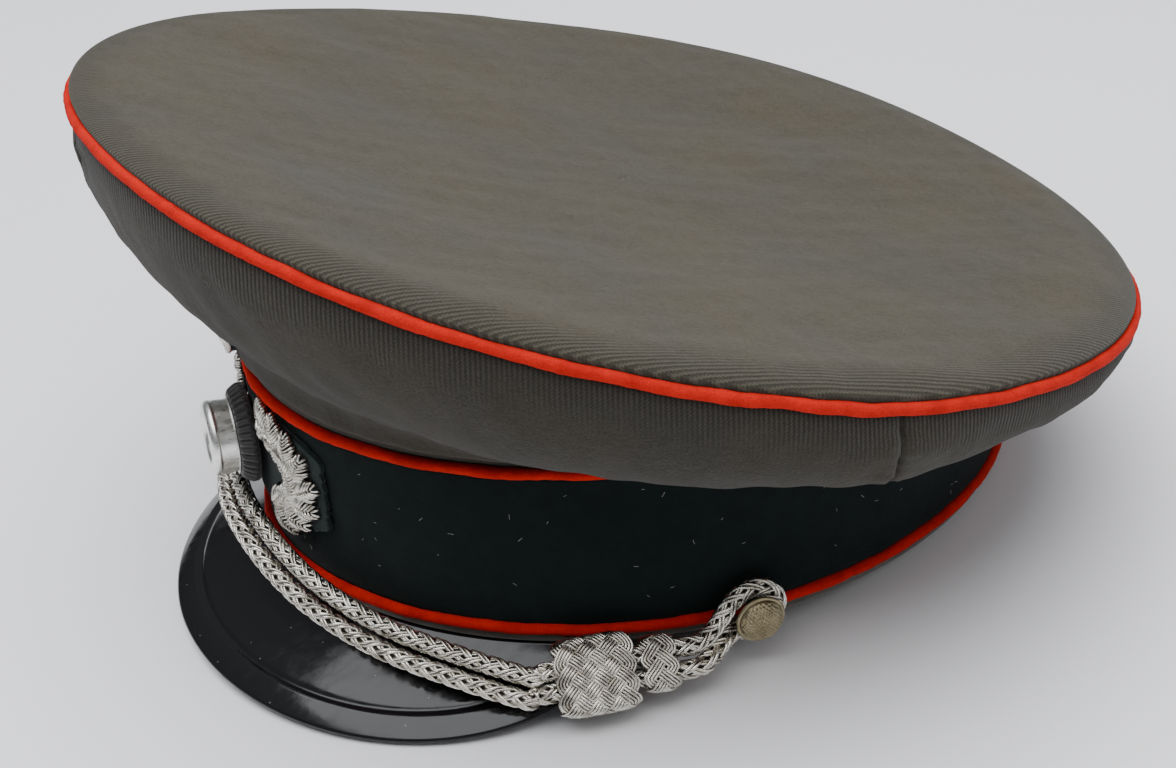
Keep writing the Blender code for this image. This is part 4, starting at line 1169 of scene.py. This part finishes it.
def make_cockade():
    """A pleated rosette, a brushed cup with a rolled lip, and a plain domed centre."""
    place = band_point(np.array(0.0), COCKADE_Z)
    ribs = 38
    share = np.linspace(0.0, 1.0, 26)
    radius = BOSS_RADIUS + 0.1 * MM + (ROSETTE_RADIUS - BOSS_RADIUS) * share
    height = 7.2 * MM - 3.2 * MM * share ** 1.8
    back = ((ROSETTE_RADIUS + 0.1 * MM, 3.0 * MM), (ROSETTE_RADIUS - 0.6 * MM, 2.5 * MM),
            (4.0 * MM, 2.4 * MM))
    front = ((4.0 * MM, 7.1 * MM),)
    profile = np.concatenate((front, np.stack((radius, height), 1), back))

    def pleats(turn, radius, height):
        fold = np.abs(np.sin(turn * ribs / 2.0 + 0.25 * np.sin(turn * 5.0))) ** 0.7
        outer = smooth(radius, BOSS_RADIUS, ROSETTE_RADIUS - 1.0 * MM)
        outer = outer * (height > 2.7 * MM)
        return radius + 0.45 * MM * (fold - 0.5) * outer, height + 1.1 * MM * (fold - 0.6) * outer

    points, faces = turned(profile, 44 * 10, place, FRONT, pleats)
    add_piece(
        "cockade_pleats", points, [faces[0][:, ::-1]], LOOKS["silk"], "cap",
        ["cockade_rosette"],
    )
    base, face = 7.4 * MM, 7.5 * MM + BOSS_HEIGHT
    lip = np.linspace(math.pi, 0.0, 16)
    lip_radius = 2.2 * MM
    wall = np.linspace(1.0, 0.0, 12)
    inner = np.array(((0.0, face - 2.2 * MM), (BOSS_RADIUS - 4.4 * MM, face - 2.2 * MM)))
    rolled = np.stack((BOSS_RADIUS - lip_radius + lip_radius * np.cos(lip),
                       face - lip_radius + lip_radius * np.sin(lip)), 1)
    outside = np.stack((BOSS_RADIUS - 0.15 * MM - 0.35 * MM * (1.0 - wall),
                        base + (face - lip_radius - base) * wall - 0.1 * MM), 1)
    foot = np.array(((BOSS_RADIUS + 0.15 * MM, base + 0.3 * MM), (BOSS_RADIUS, base), (0.0, base)))
    profile = np.concatenate((inner, rolled, outside, foot))
    points, faces = turned(profile, 120, place, FRONT)
    add_piece(
        "cockade_cup", points, [faces[0][:, ::-1]], LOOKS["boss"], "cap",
        ["cockade_boss"],
    )
    dome = np.linspace(0.0, 1.0, 14)
    centre = np.stack((5.4 * MM * dome, face - 0.5 * MM - 1.2 * MM * dome ** 2), 1)
    centre = np.concatenate((centre, ((5.2 * MM, face - 2.1 * MM), (0.0, face - 2.1 * MM))))
    points, faces = turned(centre, 90, place, FRONT)
    add_piece(
        "cockade_centre_disc", points, [faces[0][:, ::-1]], LOOKS["silk"], "cap",
        ["cockade_centre"],
    )


# ---- Wreath and patch ---------------------------------------------------------------------------
def leaf_wires(place_on, heading, length, width, rise, rows):
    """Satin-stitch leaf: short wires slant from the midrib to both edges over padding.

    place_on(a, b, height) puts a point that lies a and b from the leaf's foot on the ground.
    """
    cosine, sine = math.cos(heading), math.sin(heading)
    tau = np.linspace(0.0, 1.0, 9)[None, :]
    foot = (np.arange(rows) + 0.5)[:, None] / rows
    paths = []
    for side in (1.0, -1.0):
        along = np.clip(foot * 0.86 + 0.20 * tau ** 1.2, 0.0, 1.0)
        lobes = 1.0 + 0.14 * np.sin(foot * TAU * 2.5)
        half = width / 2.0 * np.sin(math.pi * np.clip(foot, 0.02, 1.0) ** 0.8) ** 0.65 * lobes
        across = side * (0.10 * MM + half * tau)
        dome = rise * np.sqrt(np.clip(1.0 - tau ** 2.4, 0.0, 1.0)) * np.sin(
            math.pi * (0.10 + 0.84 * foot)) ** 0.5
        dome = dome * (0.80 + 0.20 * smooth(tau, 0.0, 0.25))
        a, b = along * length, across
        paths.append(place_on(a * cosine - b * sine, a * sine + b * cosine, dome))
    return np.concatenate(paths)


def band_ground(angle, z, out):
    """Places points on the band's cloth round (angle, z)."""
    pace = float(np.linalg.norm(band_outline(np.array(angle + 0.01), z)
                                - band_outline(np.array(angle - 0.01), z)) / 0.02)

    def place_on(along, up, height):
        return band_point(angle + along / pace, z + up, out + height)

    return place_on


def make_wreath():
    half_span, half_height = math.radians(24.5), 15.0 * MM
    backing_out = 1.5 * MM
    u = np.linspace(-1.0, 1.0, 90)[:, None]
    v = np.linspace(-1.0, 1.0, 30)[None, :]
    squeeze = np.sqrt(1.0 - 0.55 * u ** 4)
    frayed = 1.0 + 0.012 * ripple(vectors(u, v, 0.0), 0.03, 91)
    points = band_point(u * half_span * frayed, WREATH_Z + half_height * squeeze * v, backing_out)
    backing = add_piece(
        "wreath_ground", points, [grid_faces(90, 30)], LOOKS["backing"], "cap",
        ["wreath_backing"],
    )
    thicken(backing, 1.1 * MM)
    long = float(np.linalg.norm(np.diff(points[:, 15], axis=0), axis=-1).sum())
    for name, side in (("left", 1.0), ("right", -1.0)):
        wires, stems = [], []
        leaves = 8
        for step in range(leaves):
            turn = math.radians(-70.0 + 134.0 * step / (leaves - 1))
            angle = side * math.radians(6.5 + 12.0 * math.cos(turn))
            z = WREATH_Z + 12.4 * MM * math.sin(turn)
            climb = math.atan2(math.cos(turn) * 11.8, -math.sin(turn) * 12.0 * 1.7)
            shrink = 1.0 - 0.16 * step / leaves
            for lean, tall in ((-0.62, 1.0), (0.62, 0.94)):
                heading = climb + lean if side > 0 else math.pi - (climb + lean)
                ground = band_ground(angle, z, backing_out + 0.3 * MM)
                wires.append(leaf_wires(
                    ground, heading, 10.5 * MM * shrink * tall, 6.4 * MM * shrink,
                    2.7 * MM * shrink, 10,
                ))
            stems.append((angle, z))
        wires = np.concatenate(wires)
        normals = band_outward(np.arctan2(wires[..., 0], -wires[..., 1]))
        leaf_points, leaf_faces = sweep(wires, normals, 0.34 * MM, 6)
        stem_angles, stem_heights = np.array(stems).T
        stem_line = band_point(stem_angles, stem_heights, backing_out + 1.6 * MM)
        fine = np.linspace(0.0, leaves - 1.0, 70)
        stem_line = np.stack([np.interp(fine, np.arange(leaves), stem_line[:, k])
                              for k in range(3)], 1)
        twist = fine * 9.0
        out = band_outward(np.interp(fine, np.arange(leaves), stem_angles))
        strands = [
            stem_line + out * column(0.45 * MM * np.cos(twist + start))
            + np.array((0.0, 0.0, 1.0)) * column(0.45 * MM * np.sin(twist + start))
            for start in (0.0, TAU / 3.0, 2.0 * TAU / 3.0)
        ]
        stem = sweep(np.array(strands), out[None], 0.40 * MM, 7)
        shape_points, shape_faces = joined((leaf_points, leaf_faces), stem)
        add_piece(
            f"wreath_leaves_{name}", shape_points, shape_faces, LOOKS["bullion"], "cap",
            [f"wreath_branch_{name}"],
            cloth=vectors(shape_points.sum(1), 0.0, 0.0),
        )


def make_crown_patch():
    """A plain padded oval in wire satin stitch, roped round its edge."""
    half_width, half_height, border = 5.6 * MM, 7.0 * MM, 1.8 * MM
    pace = 0.118
    rise_pace = 0.080

    def place_on(across, up, height):
        angle, s = across / pace, PATCH_CENTRE_S + up / rise_pace
        return crown_side_point(angle, s, -height - front_swell(angle, s))

    turn = np.linspace(0.0, TAU, 80, endpoint=False)[:, None]
    v = np.linspace(0.0, 1.0, 10)[None, :]
    ground = place_on(np.sin(turn) * (half_width + border) * v,
                      np.cos(turn) * (half_height + border) * v, 1.4 * MM + 0.0 * v)
    ground[:, 0] = ground[:, 0].mean(0)
    backing = add_piece(
        "crown_patch_ground", ground, [grid_faces(80, 10, True)[:, ::-1]], LOOKS["backing"], "cap",
        ["crown_patch_backing"],
    )
    thicken(backing, 1.0 * MM, 1.0)
    rows = np.linspace(-0.96, 0.96, 34)[:, None]
    tau = np.linspace(-1.0, 1.0, 15)[None, :]
    reach = np.sqrt(1.0 - rows ** 2)
    dome = 1.9 * MM * np.sqrt(np.clip((1.0 - tau ** 4) * (1.0 - 0.75 * rows ** 2), 0.0, 1.0))
    wires = place_on(tau * reach * half_width, rows * half_height + 0.0 * tau, 1.6 * MM + dome)
    rope_turn = np.linspace(0.0, TAU, 240, endpoint=False)
    ropes = []
    for start in (0.0, math.pi):
        twist = rope_turn * 26.0 + start
        grow = 0.9 * MM + 0.42 * MM * np.cos(twist)
        ropes.append(place_on(np.sin(rope_turn) * (half_width + grow),
                              np.cos(rope_turn) * (half_height + grow),
                              2.2 * MM + 0.42 * MM * np.sin(twist)))
    satin = sweep(wires, FRONT, 0.23 * MM, 6)
    rope = sweep(np.array(ropes), FRONT, 0.42 * MM, 7, True)
    points, faces = joined(satin, rope)
    satin_oval = add_piece(
        "crown_patch_satin", points, faces, LOOKS["bullion"], "cap",
        ["crown_patch_oval"], vectors(points.sum(1), 0.0, 0.0),
    )


# ---- Small things that make cloth look used -------------------------------------------------------
def make_lint():
    """Short pale fibres caught on the band's felt."""
    random = np.random.default_rng(101)
    count = 70
    angle = random.uniform(-1.2, 2.6, count)[:, None]
    z = random.uniform(9.0, 46.0, count)[:, None] * MM
    t = np.linspace(-0.5, 0.5, 6)[None, :]
    long = random.uniform(0.4, 1.5, count)[:, None] * MM
    lean = random.uniform(0.0, math.pi, count)[:, None]
    bow = random.uniform(-0.4, 0.4, count)[:, None] * MM * (0.25 - t ** 2)
    at = angle + (t * long * np.cos(lean) + bow) / 0.095
    paths = band_point(at, z + t * long * np.sin(lean), 0.42 * MM)
    points, faces = sweep(paths, band_outward(at), 0.055 * MM, 4)
    add_piece("band_lint", points, faces, LOOKS["lint"], "cap")


# ---- CAD nodes that stay --------------------------------------------------------------------------
def dress_cad_nodes():
    kept = {
        "crown_wire": "steel", "cockade_pin": "steel", "front_stay": "board",
        "button_shank_left": "steel", "button_shank_right": "steel",
        "button_washer_left": "steel", "button_washer_right": "steel",
    }
    for node_name, look_name in kept.items():
        mesh = frame["nodes"][node_name].data
        mesh.materials.clear()
        mesh.materials.append(LOOKS[look_name])


# ---- Studio ---------------------------------------------------------------------------------------
def make_camera():
    look_flat = np.array((-math.cos(CAMERA_YAW), math.sin(CAMERA_YAW), 0.0))
    forward = look_flat * math.cos(CAMERA_PITCH) - (0.0, 0.0, math.sin(CAMERA_PITCH))
    right = unit(np.cross(forward, (0.0, 0.0, 1.0)))
    up = np.cross(right, forward)
    cosine, sine = math.cos(CAMERA_ROLL), math.sin(CAMERA_ROLL)
    level = right * cosine + up * sine
    upright = up * cosine - right * sine
    turn = Matrix((level, upright, -forward)).transposed().to_4x4()
    data = bpy.data.cameras.new("camera")
    data.sensor_fit = "HORIZONTAL"
    data.sensor_width = 36.0
    data.lens = CAMERA_LENS
    data.clip_start = 0.01
    camera = bpy.data.objects.new("camera", data)
    bpy.context.scene.collection.objects.link(camera)
    camera.matrix_world = BAND @ Matrix.Translation(CAMERA_PLACE) @ turn
    bpy.context.scene.camera = camera


def add_area_light(name, place, size, power, colour):
    data = bpy.data.lights.new(name, "AREA")
    data.shape = "DISK"
    data.size = size
    data.energy = power
    data.color = colour
    light = bpy.data.objects.new(name, data)
    bpy.context.scene.collection.objects.link(light)
    light.location = place
    light.rotation_euler = (-Vector(place)).to_track_quat("-Z", "Y").to_euler()


def make_studio():
    mesh = bpy.data.meshes.new("floor")
    half = 3.0
    corners = [(-half, -half, 0.0), (half, -half, 0.0), (half, half, 0.0), (-half, half, 0.0)]
    mesh.from_pydata(corners, [], [(0, 1, 2, 3)])
    mesh.materials.append(look_floor())
    floor = bpy.data.objects.new("floor", mesh)
    bpy.context.scene.collection.objects.link(floor)
    floor.location.z = CAD_BOX[0][2]
    world = bpy.data.worlds.new("studio")
    bpy.context.scene.world = world
    world.use_nodes = True
    tree = world.node_tree
    direction = tree.nodes.new("ShaderNodeTexCoord").outputs["Generated"]
    height = tree.nodes.new("ShaderNodeSeparateXYZ")
    tree.links.new(direction, height.inputs[0])
    ramp = tree.nodes.new("ShaderNodeValToRGB")
    ramp.color_ramp.elements[0].position = 0.05
    ramp.color_ramp.elements[0].color = (0.05, 0.053, 0.06, 1.0)
    ramp.color_ramp.elements[1].position = 0.85
    ramp.color_ramp.elements[1].color = (0.92, 0.95, 1.0, 1.0)
    tree.links.new(height.outputs[2], ramp.inputs[0])
    background = tree.nodes["Background"]
    tree.links.new(ramp.outputs[0], background.inputs["Color"])
    background.inputs["Strength"].default_value = 0.50
    add_area_light("sky_window", (0.10, -0.20, 1.7), 2.2, 66.0, (0.97, 0.98, 1.0))
    add_area_light("room_bounce", (1.2, 0.6, 1.1), 1.2, 5.0, (1.0, 0.98, 0.95))


def main():
    make_camera()
    make_crown_top()
    make_crown_sides()
    make_pipings()
    make_band()
    make_sweatband()
    make_lining()
    make_peak()
    for side_name, side in (("left", 1.0), ("right", -1.0)):
        make_button(side_name, side)
    make_chin_cord()
    make_knots()
    make_cockade()
    make_wreath()
    make_crown_patch()
    make_lint()
    dress_cad_nodes()
    make_studio()


main()
